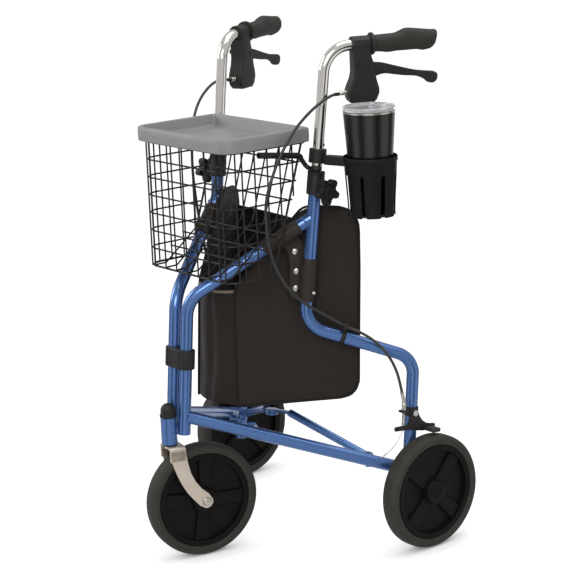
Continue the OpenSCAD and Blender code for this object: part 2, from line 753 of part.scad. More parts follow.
// Return spring: one open coil round the inner wire, from the arm up to the stop
spring_d = 6;
spring_wire = 1;
spring_turns = 14;
spring_steps = 8;
spring_sides = 6;
spring_low = brake_w + arm_shares[0][1] * arm_drop + spring_wire / 2 + pass_gap;
spring_high = stop_w - stop_t - spring_wire / 2 - pass_gap;
function spring_pt(t) = [(spring_d - spring_wire) / 2 * cos(360 * t), (spring_d - spring_wire) / 2 * sin(360 * t),
    spring_low + (spring_high - spring_low) * t / spring_turns];
spring_path = [for (i = [0 : spring_turns * spring_steps]) spring_pt(i / spring_steps)];
spring_gap = min([for (i = [0 : spring_steps * 2]) for (j = [i + spring_steps - 2 : i + spring_steps + 2])
    norm(spring_path[i] - spring_path[j])]) - spring_wire;
echo(spring_gap_to_itself = spring_gap);

// A round strand swept along a path: rings square to the path, joined by triangles
function tangent(p, i) = unit(p[min(i + 1, len(p) - 1)] - p[max(i - 1, 0)]);
function ring_points(c, t, d, sides, aim) =
    let (u = unit(cross(t, aim)), v = cross(u, t))
    [for (k = [0 : sides - 1]) c + (u * cos(360 * k / sides) + v * sin(360 * k / sides)) * d / 2];
module strand(p, d, sides, aim) {
    rings = [for (i = [0 : len(p) - 1]) each ring_points(p[i], tangent(p, i), d, sides, aim)];
    last = (len(p) - 1) * sides;
    walls = [for (i = [0 : len(p) - 2]) for (k = [0 : sides - 1])
        let (a = i * sides + k, b = i * sides + (k + 1) % sides)
        each [[a, b, b + sides], [a, b + sides, a + sides]]];
    first_cap = [for (k = [1 : sides - 2]) [0, k + 1, k]];
    last_cap = [for (k = [1 : sides - 2]) [last, last + k, last + k + 1]];
    polyhedron(concat(rings), concat(walls, first_cap, last_cap));
}
module brake_spring() {
    color(chrome) at_leg(0) translate([arm_x, cable_y, 0]) strand(spring_path, spring_wire, spring_sides, [0, 0, 1]);
}

// Brake cables: routes from the housing's barrel round the post to the rear barrel, measured from the stem
left_route = [[150, 283, 800], [154, 264, 800], [155, 240, 792], [152, 214, 776], [148, 186, 751], [144, 157, 712],
    [141, 134, 666], [139, 125, 632], [138, 125, 600], [138, 127, 570], [140, 136, 530], [146, 155, 490],
    [152, 173, 467], [158, 194, 448], [165, 219, 431], [177.5, 257, 404], [192, 275, 393], [210, 291, 378],
    [230, 304, 355], [245, 313, 322], [254, 319, 270.5]];
right_route = [[-150, 283, 800], [-152, 272, 803], [-158, 258, 801], [-165, 243, 790], [-169, 226, 770],
    [-167, 210, 742], [-165, 201, 700], [-164, 198, 650], [-162, 200, 600], [-160, 205, 550], [-158, 212, 500],
    [-158, 222, 460], [-166, 237, 428], [-177.5, 257, 404], [-192, 275, 393], [-210, 291, 378],
    [-230, 304, 355], [-245, 313, 322], [-254, 319, 270.5]];
cable_aim = [1, 0.2, 0];
cable_sides = 8;
cable_parts = 2;
function spline(a, b, c, d, t) = (2 * b + (c - a) * t + (2 * a - 5 * b + 4 * c - d) * t * t
    + (3 * b - a - 3 * c + d) * t * t * t) / 2;
function smooth(p) = concat([for (i = [0 : len(p) - 2]) for (k = [0 : cable_parts - 1])
    spline(p[max(i - 1, 0)], p[i], p[i + 1], p[min(i + 2, len(p) - 1)], k / cable_parts)], [p[len(p) - 1]]);
module brake_cable(route) {
    color(black) translate([0, stem_y, 0]) strand(smooth(route), cable_d, cable_sides, cable_aim);
}

// Clip that ties the cable to the sloping tube above the leg
clip_share = 0.345;
clip_l = 8;
clip_wall = 2;
clip_eye_d = 13.2;
clip_up = 20;
clip_bore_gap = 2.3;
clip_out = 9;
module cable_clip() {
    c = post_at(post_bend_w) + (leg_at(leg_bend_w) - post_at(post_bend_w)) * clip_share;
    along = unit(leg_at(leg_bend_w) - post_at(post_bend_w));
    color(black) difference() {
        union() {
            bar(c - along * clip_l / 2, c + along * clip_l / 2, tube_d + 2 * clip_wall);
            translate([clip_out, 0, clip_up]) bar(c - along * clip_l / 2, c + along * clip_l / 2, clip_eye_d);
            bar(c, c + [clip_out, 0, clip_up], clip_l - over);
        }
        bar(c - along * clip_l, c + along * clip_l, tube_d + 2 * seat_gap);
        translate([clip_out, 0, clip_up]) bar(c - along * clip_l, c + along * clip_l, cable_d + 2 * clip_bore_gap);
        at_side() translate([-tube_d / 2 - clip_l, 0, 0]) cube([clip_l, leg_r, joint_w]);
    }
}

// Soft bag: a stiffened panel with two sleeves inside each frame, gussets front and back, and a floor
sleeve_gap = 0.35;
bag_n = tube_d / 2 + sleeve_gap;
bag_front_r = 80;
bag_foot_r = 92;
bag_rear_r = 292;
bag_heel_r = 304;
bag_foot_w = 56;
bag_low_w = 78;
bag_brow_w = 262;
bag_high_w = 410;
bag_corner = 26;
sleeve_wall = 2.5;
sleeve_d = tube_d + 2 * sleeve_wall;
sleeve_low_w = 248;
sleeve_high_w = 318;
sleeve_from_r = 128;
sleeve_to_r = 188;
module bag_outline() {
    low = bag_low_w;
    high = bag_high_w;
    polygon([[bag_foot_r, bag_foot_w], [bag_heel_r - bag_corner, low], [bag_heel_r, low + bag_corner],
        [bag_rear_r, high - bag_corner], [bag_rear_r - bag_corner, high], [post_r - bag_corner / 2, high],
        [bag_front_r, bag_brow_w]]);
    translate([bag_heel_r - bag_corner - over, low + bag_corner - over]) circle(r = bag_corner);
    translate([bag_rear_r - bag_corner, high - bag_corner]) circle(r = bag_corner);
}
module bag_panel() {
    color(cloth) difference() {
        union() {
            at_side() translate([-bag_n - bag_t, 0, 0]) rotate([90, 0, 90]) linear_extrude(bag_t) bag_outline();
            bar(post_at(sleeve_low_w), post_at(sleeve_high_w), sleeve_d);
            bar(side_pt(sleeve_from_r, diagonal_w(sleeve_from_r)), side_pt(sleeve_to_r, diagonal_w(sleeve_to_r)), sleeve_d);
        }
        bar(post_at(post_bend_w), post_at(post_top_w), tube_d + 2 * sleeve_gap);
        bar(side_pt(0, front_bend_w), side_pt(joint_r, joint_w), tube_d + 2 * sleeve_gap);
    }
}
gusset_t = 4;
function inner_x(r) = hinge_x + r * sin(splay) - (bag_n + bag_t) * cos(splay) - pass_gap;
function inner_y(r) = r * cos(splay) + (bag_n + bag_t) * sin(splay);
module bag_gussets() {
    front_x = inner_x(bag_front_r);
    rear_r = bag_rear_r - 2 * gusset_t;
    rear_x = inner_x(rear_r - gusset_t / 2 / cos(splay));
    low = bag_low_w + gusset_t;
    color(cloth) at_hinge() {
        translate([-front_x, inner_y(bag_front_r), bag_foot_w + gusset_t])
            cube([2 * front_x, gusset_t, bag_brow_w - bag_foot_w - 2 * gusset_t]);
        translate([-rear_x, inner_y(rear_r) - gusset_t / 2, low])
            cube([2 * rear_x, gusset_t, bag_high_w - bag_corner - low]);
    }
}
module bag_floor() {
    r0 = bag_foot_r + 2 * gusset_t;
    r1 = bag_rear_r - gusset_t;
    color(cloth) at_hinge() translate([0, 0, bag_low_w]) linear_extrude(gusset_t - pass_gap)
        polygon([[-inner_x(r0), inner_y(r0)], [inner_x(r0), inner_y(r0)],
            [inner_x(r1), inner_y(r1)], [-inner_x(r1), inner_y(r1)]]);
}

// Grey tray: a dish with a broad rim, sitting over the basket
tray_rim = 11;
tray_floor = 4;
tray_rear_corner = 10;
module tray_outline(x, y, r, q) {
    translate([-x / 2 + r, -y / 2]) square([x - 2 * r, y - q]);
    translate([-x / 2, -y / 2 + r]) square([x, y - r - q]);
    translate([-x / 2 + q, y / 2 - 2 * q]) square([x - 2 * q, 2 * q]);
    for (i = [-1, 1]) {
        translate([i * (x / 2 - r), -y / 2 + r]) circle(r = r);
        translate([i * (x / 2 - q), y / 2 - q]) circle(r = q);
    }
}
module tray() {
    color(grey) translate([0, stem_y + tray_front + tray_y / 2, tray_z]) difference() {
        linear_extrude(tray_h) tray_outline(tray_x, tray_y, tray_corner, tray_rear_corner);
        translate([0, 0, tray_floor]) linear_extrude(tray_h)
            tray_outline(tray_x - 2 * tray_rim, tray_y - 2 * tray_rim, tray_corner - tray_rim / 2, tray_rear_corner / 2);
    }
}

// Wire basket: side and front walls on a rounded plan, a floor that slopes up over the diagonals, a back wall and two hooks
basket_corner = 28;
basket_rear_low = 155;
basket_rear_high = 225;
basket_high = tray_z - wire_d / 2 - pass_gap;
floor_front = 80;
floor_rear_z = 577;
level_step = (basket_high - basket_z) / (level_count - 1);
column_step = 2 * (basket_x - basket_corner) / (column_count - 1);
side_step = 27;
function basket_rear(z) = basket_rear_low + (basket_rear_high - basket_rear_low) * (z - basket_z) / (basket_high - basket_z);
function wire_pt(x, y, z) = [x, stem_y + y, z];
side_first = basket_front + basket_corner;
module basket_level(z) {
    x0 = basket_x - basket_corner - hair;
    bar(wire_pt(-x0, basket_front, z), wire_pt(x0, basket_front, z), wire_d);
    for (s = [-1, 1]) {
        bar(wire_pt(s * basket_x, side_first + hair, z), wire_pt(s * basket_x, basket_rear(z), z), wire_d);
        translate(wire_pt(s * (basket_x - basket_corner), side_first, z)) rotate([0, 0, s > 0 ? -90 : 180])
            rotate_extrude(angle = 90) translate([basket_corner, 0]) circle(d = wire_d);
    }
}
module basket_sides() {
    out = wire_d + hair;
    rear_lift = (basket_high - basket_z) / (basket_rear_high - basket_rear_low);
    for (s = [-1, 1]) {
        for (y = [side_first : side_step : basket_rear_high - side_step / 2]) {
            low = y < basket_rear_low ? basket_z : basket_z + (y - basket_rear_low) * rear_lift + wire_d;
            bar(wire_pt(s * (basket_x + out), y, low), wire_pt(s * (basket_x + out), y, basket_high), wire_d);
        }
        bar(wire_pt(s * (basket_x - out), basket_rear_low - wire_d, basket_z),
            wire_pt(s * (basket_x - out), basket_rear_high - wire_d, basket_high), wire_d);
    }
    for (i = [0 : column_count - 1]) {
        x = -basket_x + basket_corner + i * column_step;
        bar(wire_pt(x, basket_front - out, basket_z), wire_pt(x, basket_front - out, basket_high), wire_d);
    }
}
module basket_floor() {
    out = wire_d + hair;
    rise = (floor_rear_z - basket_z) / (basket_rear(floor_rear_z) - floor_front);
    for (i = [0 : column_count - 1]) {
        x = -basket_x + basket_corner + i * column_step;
        bar(wire_pt(x, basket_front + out, basket_z + out), wire_pt(x, floor_front - hair, basket_z + out), wire_d);
        bar(wire_pt(x, floor_front + wire_d / 2, basket_z + out + rise * wire_d / 2),
            wire_pt(x, basket_rear(floor_rear_z), floor_rear_z + out), wire_d);
        bar(wire_pt(x, basket_rear(floor_rear_z), floor_rear_z + out + wire_d),
            wire_pt(x, basket_rear_high - wire_d, basket_high), wire_d);
    }
    reach = basket_x - 2 * out;
    for (k = [1 : 3]) {
        y = floor_front + k * side_step;
        bar(wire_pt(-reach, y, basket_z + 2 * out + (y - floor_front) * rise + hair),
            wire_pt(reach, y, basket_z + 2 * out + (y - floor_front) * rise + hair), wire_d);
    }
    for (k = [4 : level_count - 1]) {
        z = basket_z + k * level_step;
        bar(wire_pt(-reach, basket_rear(z) - wire_d - out, z), wire_pt(reach, basket_rear(z) - wire_d - out, z), wire_d);
    }
}
hook_d = 8;
hook_front = 15;
hook_out = 15;
hook_tail = 10;
hook_lift = 2.4;
hook_from_y = 120;
hook_from_z = 715;
hook_mid_y = 207;
hook_mid_z = 703;
function corner_gap(p, i) = i == 0 ? 0 : hair + hook_d / 2 * (1 / sin(turn_at(p, i)) + 1 / tan(turn_at(p, i)));
module basket_hook() {
    c = post_at(collar_top + hook_d / 2 + hook_lift);
    side_x = basket_x + 1.5 * wire_d + 2 * hair + hook_d / 2;
    p = [wire_pt(side_x, hook_from_y, hook_from_z), wire_pt(side_x, hook_mid_y, hook_mid_z),
        c + [-hook_d, -hook_front, 0], c + [hook_out, -hook_front, 0], c + [hook_out, hook_tail - hook_front, 0]];
    for (i = [0 : len(p) - 2])
        bar(p[i] + unit(p[i + 1] - p[i]) * corner_gap(p, i), p[i + 1], hook_d);
}
module basket() {
    color(black) {
        for (i = [0 : level_count - 1]) basket_level(basket_z + i * level_step);
        basket_sides();
        basket_floor();
        basket_hook();
        mirrored() basket_hook();
    }
}

// Cup holder: a clamp on the upright, an arm and a slotted tapered cup
cup_clamp_w = 487;
cup_clamp_h = 24;
cup_clamp_wall = 5.5;
cup_arm_d = 16;
cup_floor = 5;
cup_rim_h = 9;
slot_count = 8;
slot_w = 5;
slot_share = 0.7;
cup_axis = post_at(cup_clamp_w + cup_clamp_h / 2) + [cup_x, cup_y, 0];
cup_turn = atan2(cup_y, cup_x);
cup_arm_z = post_at(cup_clamp_w + cup_clamp_h / 2)[2] - cup_clamp_h / 4;
module cup_clamp() {
    color(black) difference() {
        at_post(cup_clamp_w) cylinder(d = upright_d + 2 * cup_clamp_wall, h = cup_clamp_h);
        at_post(cup_clamp_w - over) cylinder(d = upright_d + 2 * seat_gap, h = cup_clamp_h + 2 * over);
    }
}
module cup_shell() {
    rotate_extrude() polygon([[0, 0], [holder_foot_r, 0], [holder_r - holder_wall, holder_h - cup_rim_h],
        [holder_r, holder_h - cup_rim_h], [holder_r, holder_h], [holder_r - holder_wall, holder_h],
        [holder_foot_r - holder_wall, cup_floor], [0, cup_floor]]);
}
module cup_holder() {
    color(black) difference() {
        union() {
            translate([cup_axis[0], cup_axis[1], holder_z]) difference() {
                cup_shell();
                for (i = [0 : slot_count - 1]) rotate([0, 0, cup_turn + (i + 0.5) * 360 / slot_count])
                    translate([holder_foot_r - 2 * holder_wall, -slot_w / 2, -over])
                        cube([holder_r, slot_w, holder_h * slot_share]);
            }
            difference() {
                translate([cup_axis[0], cup_axis[1], cup_arm_z]) rotate([0, 0, cup_turn + 180]) rotate([0, 90, 0])
                    cylinder(d = cup_arm_d, h = norm([cup_x, cup_y]));
                translate([cup_axis[0], cup_axis[1], holder_z])
                    cylinder(r = holder_r - holder_wall, h = 2 * holder_h);
            }
        }
        at_post(cup_clamp_w - cup_clamp_h) cylinder(d = upright_d + 2 * cup_clamp_wall + 2 * seat_gap, h = 3 * cup_clamp_h);
    }
}

// Steel tumbler standing in the holder, with a clear lid
tumbler_wall = 2;
tumbler_foot_r = 32;
lid_t = 7;
lid_plug_r = 3;
module at_cup() {
    translate([cup_axis[0], cup_axis[1], holder_z + cup_floor + pass_gap]) children();
}
module tumbler() {
    color(black) at_cup() rotate_extrude() polygon([[0, 0], [tumbler_foot_r, 0], [tumbler_r, tumbler_h],
        [tumbler_r - tumbler_wall, tumbler_h], [tumbler_foot_r - tumbler_wall, tumbler_wall], [0, tumbler_wall]]);
}
module tumbler_lid() {
    color([0.85, 0.87, 0.9]) at_cup() translate([0, 0, tumbler_h + seat_gap]) cylinder(r = tumbler_r + seat_gap, h = lid_t);
}

// Named nodes, left side then its mirror image
module left_front_tube() { front_tube(); }
module left_post_tube() { post_tube(); }
module left_lower_rail() { lower_rail(); }
module left_axle_plate() { axle_plate(); }
module left_axle_bolt() { axle_bolt(); }
module left_post_collar() { post_collar(); }
module left_brake_bracket() { brake_bracket(); }
module left_brake_hardware() { brake_hardware(); }
module left_brake_spring() { brake_spring(); }
module left_cable_clip() { cable_clip(); }
module left_brake_cable() { brake_cable(left_route); }
module left_bag_panel() { bag_panel(); }
module left_tyre() { rear_tyre(); }
module left_hub() { rear_hub(); }
module left_brake_arm() { brake_arm(); }
module left_upright() { upright(); }
module left_brake_housing() { brake_housing(); }
module left_grip() { grip(); }
module left_brake_lever() { brake_lever(); }
module left_height_knob() { height_knob(); }
module left_brace_link() { brace_link(layer_up); }
module right_front_tube() { mirrored() front_tube(); }
module right_post_tube() { mirrored() post_tube(); }
module right_lower_rail() { mirrored() lower_rail(); }
module right_axle_plate() { mirrored() axle_plate(); }
module right_axle_bolt() { mirrored() axle_bolt(); }
module right_post_collar() { mirrored() post_collar(); }
module right_brake_bracket() { mirrored() brake_bracket(); }
module right_brake_hardware() { mirrored() brake_hardware(); }
module right_brake_spring() { mirrored() brake_spring(); }
module right_cable_clip() { mirrored() cable_clip(); }
module right_brake_cable() { brake_cable(right_route); }
module right_bag_panel() { mirrored() bag_panel(); }
module right_tyre() { mirrored() rear_tyre(); }
module right_hub() { mirrored() rear_hub(); }
module right_brake_arm() { mirrored() brake_arm(); }
module right_upright() { mirrored() upright(); }
module right_brake_housing() { mirrored() brake_housing(); }
module right_grip() { mirrored() grip(); }
module right_brake_lever() { mirrored() brake_lever(); }
module right_height_knob() { mirrored() height_knob(); }
module right_brace_link() { mirrored() brace_link(-layer_up); }

left_front_tube();
left_post_tube();
left_lower_rail();
head_tube();
head_cap();
stem_bushes();
hinge_clamp();
hinge_clamp_screws();
left_axle_plate();
left_axle_bolt();
left_post_collar();
left_brake_bracket();
left_brake_hardware();
left_brake_spring();
left_cable_clip();
left_brake_cable();
left_bag_panel();
bag_gussets();
bag_floor();
right_front_tube();
right_post_tube();
right_lower_rail();
right_axle_plate();
right_axle_bolt();
right_post_collar();
right_brake_bracket();
right_brake_hardware();
right_brake_spring();
right_cable_clip();
right_brake_cable();
right_bag_panel();
front_fork();
front_axle_bolt();
front_tyre();
front_hub();
left_tyre();
left_hub();
right_tyre();
right_hub();
left_brake_arm();
right_brake_arm();
left_upright();
left_brake_housing();
left_grip();
cup_clamp();
cup_holder();
right_upright();
right_brake_housing();
right_grip();
left_brake_lever();
right_brake_lever();
left_height_knob();
right_height_knob();
basket();
tray();
tumbler();
tumbler_lid();
left_brace_link();
right_brace_link();
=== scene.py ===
from functools import cache
from math import atan2, copysign, cos, dist, exp, hypot, pi, radians, sin, tan

import bmesh
import bpy
from mathutils import Matrix, Vector, noise


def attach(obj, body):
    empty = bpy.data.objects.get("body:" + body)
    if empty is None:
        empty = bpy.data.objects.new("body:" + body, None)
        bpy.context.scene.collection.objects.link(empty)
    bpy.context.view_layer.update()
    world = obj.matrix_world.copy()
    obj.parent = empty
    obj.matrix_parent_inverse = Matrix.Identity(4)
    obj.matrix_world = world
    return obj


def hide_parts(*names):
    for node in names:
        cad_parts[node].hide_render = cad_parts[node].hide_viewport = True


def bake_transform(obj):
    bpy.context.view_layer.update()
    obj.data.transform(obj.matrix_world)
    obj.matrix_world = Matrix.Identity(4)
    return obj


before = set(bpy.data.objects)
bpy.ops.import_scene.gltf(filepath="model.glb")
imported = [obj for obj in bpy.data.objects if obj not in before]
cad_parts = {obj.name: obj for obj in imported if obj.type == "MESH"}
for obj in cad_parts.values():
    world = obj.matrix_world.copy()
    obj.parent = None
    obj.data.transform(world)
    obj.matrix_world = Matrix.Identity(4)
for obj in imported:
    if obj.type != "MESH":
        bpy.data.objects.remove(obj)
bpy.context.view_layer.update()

# Camera, floor and light
# The rollator stands on a white studio floor and is seen from its front left,
# a little from above, through a long lens.
scene = bpy.context.scene
scene.view_settings.view_transform = "Standard"
mm = 0.001
stem_y = -208.137 * mm
view_turn, view_down, view_roll = radians(51.2), radians(13.76), radians(-2.27)
focal_px, frame_px = 1904.9, 580
eye_point = (2.5898, -1.8014 + stem_y, 1.2479)
back = Vector((sin(view_turn) * cos(view_down), -cos(view_turn) * cos(view_down), sin(view_down)))
level = Vector((cos(view_turn), sin(view_turn), 0))
upward = back.cross(level)
right = level * cos(view_roll) + upward * sin(view_roll)
upward = upward * cos(view_roll) - level * sin(view_roll)
lens = bpy.data.cameras.new("photo_lens")
lens.sensor_width = 36
lens.lens = focal_px * lens.sensor_width / frame_px
lens.clip_end = 100
camera = bpy.data.objects.new("photo_camera", lens)
camera.matrix_world = Matrix.Translation(eye_point) @ Matrix((right, upward, back)).transposed().to_4x4()
scene.collection.objects.link(camera)
scene.camera = camera


def srgb(code):
    parts = [int(code[i:i + 2], 16) / 255 for i in (1, 3, 5)]
    return [p / 12.92 if p <= 0.04045 else ((p + 0.055) / 1.055) ** 2.4 for p in parts] + [1]


def add(tree, kind, inputs=None, **settings):
    made = tree.nodes.new(kind)
    for name, value in settings.items():
        setattr(made, name, value)
    for name, value in (inputs or {}).items():
        if isinstance(value, bpy.types.NodeSocket):
            tree.links.new(value, made.inputs[name])
        else:
            made.inputs[name].default_value = value
    return made


def maths(tree, operation, *values):
    return add(tree, "ShaderNodeMath", dict(enumerate(values)), operation=operation).outputs[0]


def ranged(tree, value, low, high, start=0.0, end=1.0):
    limits = {"From Min": start, "From Max": end, "To Min": low, "To Max": high}
    return add(tree, "ShaderNodeMapRange", {"Value": value, **limits}).outputs[0]


def blank_tree(owner):
    owner.use_nodes = True
    owner.node_tree.nodes.clear()
    return owner.node_tree


# Matt white paper floor: it glows for the camera with a soft contact shadow, and polished metal sees dark flags in it.
white_floor = bpy.data.materials.new("white_studio_floor")
glow_share, near_glow, flag_count, flag_from, flag_to, contact_d = 0.6, 0.7, 5.0, 0.6, 1.6, 0.07
tree = blank_tree(white_floor)
ray = add(tree, "ShaderNodeLightPath").outputs
looked = maths(tree, "MAXIMUM", ray["Is Camera Ray"], ray["Is Transmission Ray"])
seen = maths(tree, "MULTIPLY", looked, glow_share)
share = maths(tree, "MAXIMUM", seen, ray["Is Glossy Ray"])
matt = add(tree, "ShaderNodeBsdfDiffuse", {"Color": srgb("#f4f4f3")})
spot = add(tree, "ShaderNodeNewGeometry").outputs["Position"]
parts = add(tree, "ShaderNodeSeparateXYZ", {0: spot}).outputs
bearing = maths(tree, "ARCTAN2", parts["Y"], parts["X"])
flags = maths(tree, "COSINE", maths(tree, "MULTIPLY_ADD", bearing, flag_count, flag_count * (pi / 2 - view_turn)))
near = add(tree, "ShaderNodeVectorMath", {0: spot}, operation="LENGTH").outputs["Value"]
away, striped = ranged(tree, near, 0, 1, flag_from, flag_to), ranged(tree, flags, 0.04, 1.0, -0.8, 0.3)
mirrored_floor = add(tree, "ShaderNodeMix", {"Factor": away, "A": near_glow, "B": striped}).outputs[0]
closed_in = add(tree, "ShaderNodeAmbientOcclusion", {"Distance": contact_d}, samples=16).outputs["AO"]
contact = ranged(tree, closed_in, 0.35, 1.32, 0.15, 0.95)
level_seen = add(tree, "ShaderNodeMix", {"Factor": ray["Is Glossy Ray"], "A": contact, "B": mirrored_floor})
glow = add(tree, "ShaderNodeEmission", {"Color": (1, 1, 1, 1), "Strength": level_seen.outputs[0]})
both = add(tree, "ShaderNodeMixShader", {0: share, 1: matt.outputs[0], 2: glow.outputs[0]})
add(tree, "ShaderNodeOutputMaterial", {"Surface": both.outputs[0]})
bpy.ops.mesh.primitive_plane_add(size=60, location=(0, 0, 0))
floor = bpy.context.object
floor.name = "floor"
floor.data.materials.append(white_floor)

scene.world = bpy.data.worlds.new("studio")
tree = blank_tree(scene.world)
strength = ranged(tree, add(tree, "ShaderNodeLightPath").outputs["Is Camera Ray"], 0.62, 1.0)
sky = add(tree, "ShaderNodeBackground", {"Color": (1, 1, 1, 1), "Strength": strength})
add(tree, "ShaderNodeOutputWorld", {"Surface": sky.outputs[0]})
for name, spot, aim, size, power in (
    ("key_window", (2.2, -2.6, 2.6), (0, 0, 0.5), 1.8, 62),
    ("side_window", (-2.4, -1.6, 1.9), (0, 0, 0.5), 1.5, 30),
    ("top_window", (0.3, 0.6, 3.2), (0, 0, 0), 2.2, 40),
):
    lamp = bpy.data.lights.new(name, "AREA")
    lamp.size, lamp.energy = size, power
    lamp_object = bpy.data.objects.new(name, lamp)
    lamp_object.location = spot
    lamp_object.rotation_euler = (Vector(spot) - Vector(aim)).to_track_quat("Z", "Y").to_euler()
    scene.collection.objects.link(lamp_object)

# Side frames: painted steel tubes
# Each side is three 22 mm tubes: a front tube that bends into a diagonal, a post that bends twice into the
# rear leg, and a straight lower rail. They are mandrel bent, coped and welded, then powder coated metallic blue.
tube_d, splay, lean, post_tilt = 22, radians(34.2), radians(5.2), radians(2.3)
hinge_x, hinge_y, hinge_z, post_r, leg_r = 17, 19, 220, 203.5, 395
front_foot_w, front_bend_w, joint_w, post_top_w = 10, 246.5, 394, 467
post_bend_w, leg_bend_w, leg_foot_w = 204, 150, -100
rail_front_w, rail_fall, rail_gap = 42, 93, 6
front_bend_r, post_bend_r, leg_bend_r, joint_in, joint_drop = 55, 45, 38, 3, 2.2
up = Vector((0, 0, 1))


def turned(angle, axis):
    return Matrix.Rotation(angle, 4, axis)


def moved(x, y, z):
    return Matrix.Translation((x * mm, y * mm, z * mm))


at_stem = Matrix.Translation((0, stem_y, 0))
at_hinge = at_stem @ moved(0, 0, hinge_z) @ turned(-lean, "X") @ moved(0, hinge_y, 0)
at_side = at_hinge @ moved(hinge_x, 0, 0) @ turned(-splay, "Z")


def side(r, w, n=0):
    return at_side @ Vector((n * mm, r * mm, w * mm))


def post_reach(w):
    return post_r + (w - post_bend_w) * tan(post_tilt)


def post(w):
    return side(post_reach(w), w)


def facing(place, along):
    return Matrix.Translation(place) @ up.rotation_difference(along).to_matrix().to_4x4()


def circle(x, y, r, start=0, end=360, steps=24):
    turn = end - start
    angles = [radians(start + turn * i / steps) for i in range(steps if turn == 360 else steps + 1)]
    return [(x + r * cos(a), y + r * sin(a)) for a in angles]


def bent(points, bends, steps=14):
    line = [points[0]]
    for before, corner, after, radius in zip(points, points[1:], points[2:], bends):
        a, b = (corner - before).normalized(), (after - corner).normalized()
        turn = a.angle(b)
        inward = (b - a * a.dot(b)).normalized()
        start = corner - a * (radius * mm * tan(turn / 2))
        for i in range(steps + 1):
            t = turn * i / steps
            line.append(start + a * (radius * mm * sin(t)) + inward * (radius * mm * (1 - cos(t))))
    return line + [points[-1]]


def form_group(name, inputs):
    group = bpy.data.node_groups.new(name, "GeometryNodeTree")
    for label, kind in inputs.items():
        group.interface.new_socket(label, in_out="INPUT", socket_type=f"NodeSocket{kind}")
    group.interface.new_socket("Form", in_out="OUTPUT", socket_type="NodeSocketGeometry")
    return group, add(group, "NodeGroupInput").outputs


def end_group(group, form, finish):
    plain = add(group, "GeometryNodeRealizeInstances", {"Geometry": form})
    coated = add(group, "GeometryNodeSetMaterial", {"Geometry": plain.outputs[0], "Material": finish})
    add(group, "NodeGroupOutput", {"Form": coated.outputs[0]})


def through(group, data, **values):
    carrier = bpy.data.objects.new("carrier", data)
    scene.collection.objects.link(carrier)
    modifier = carrier.modifiers.new("form", "NODES")
    modifier.node_group = group
    for socket in group.interface.items_tree:
        if socket.in_out == "INPUT" and socket.name in values:
            modifier[socket.identifier] = values[socket.name]
    mesh = bpy.data.meshes.new_from_object(carrier.evaluated_get(bpy.context.evaluated_depsgraph_get()))
    bpy.data.objects.remove(carrier)
    return mesh


bar_inputs = {"Path": "Geometry", "Radius": "Float", "Sides": "Int", "Finish": "Material"}
swept, given = form_group("swept_round_bar", bar_inputs)
ring = add(swept, "GeometryNodeCurvePrimitiveCircle", {"Resolution": given["Sides"], "Radius": given["Radius"]})
wall = {"Curve": given["Path"], "Profile Curve": ring.outputs["Curve"], "Fill Caps": True}
end_group(swept, add(swept, "GeometryNodeCurveToMesh", wall).outputs[0], given["Finish"])


def sweep(lines, diameter, finish, sides=28):
    path = bpy.data.curves.new("path", "CURVE")
    path.dimensions = "3D"
    for line in lines:
        spline = path.splines.new("POLY")
        spline.points.add(len(line) - 1)
        for point, place in zip(spline.points, line):
            point.co = (*place, 1)
    return through(swept, path, Radius=diameter * mm / 2, Sides=sides, Finish=finish)


def joined(*meshes):
    form = bmesh.new()
    finishes = []
    for mesh in meshes:
        before = len(form.faces)
        form.from_mesh(mesh)
        form.faces.ensure_lookup_table()
        finishes += [f for f in mesh.materials if f not in finishes]
        places = [finishes.index(f) for f in mesh.materials]
        for face in form.faces[before:]:
            face.material_index = places[min(face.material_index, len(places) - 1)]
    return closed(form, *finishes)


def closed(form, *finishes):
    mesh = bpy.data.meshes.new("form")
    form.to_mesh(mesh)
    form.free()
    for finish in finishes:
        mesh.materials.append(finish)
    return mesh


def mirrored(mesh):
    copy = mesh.copy()
    copy.transform(Matrix.Scale(-1, 4, (1, 0, 0)))
    copy.flip_normals()
    return copy


def piece(name, mesh, body, nodes=(), crease=38):
    made = bpy.data.objects.new(name, mesh)
    scene.collection.objects.link(made)
    mesh.polygons.foreach_set("use_smooth", [True] * len(mesh.polygons))
    mesh.set_sharp_from_angle(angle=radians(crease))
    if body:
        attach(made, body)
    if nodes:
        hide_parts(*nodes)
    return made


def pair(part, mesh, body, node):
    made = []
    for name, form in (("left", mesh), ("right", mirrored(mesh))):
        nodes = [f"{name}_{node}"] if node else []
        made.append(piece(f"{part}.{name}", form, f"{name}_{body}" if body else None, nodes))
    return made


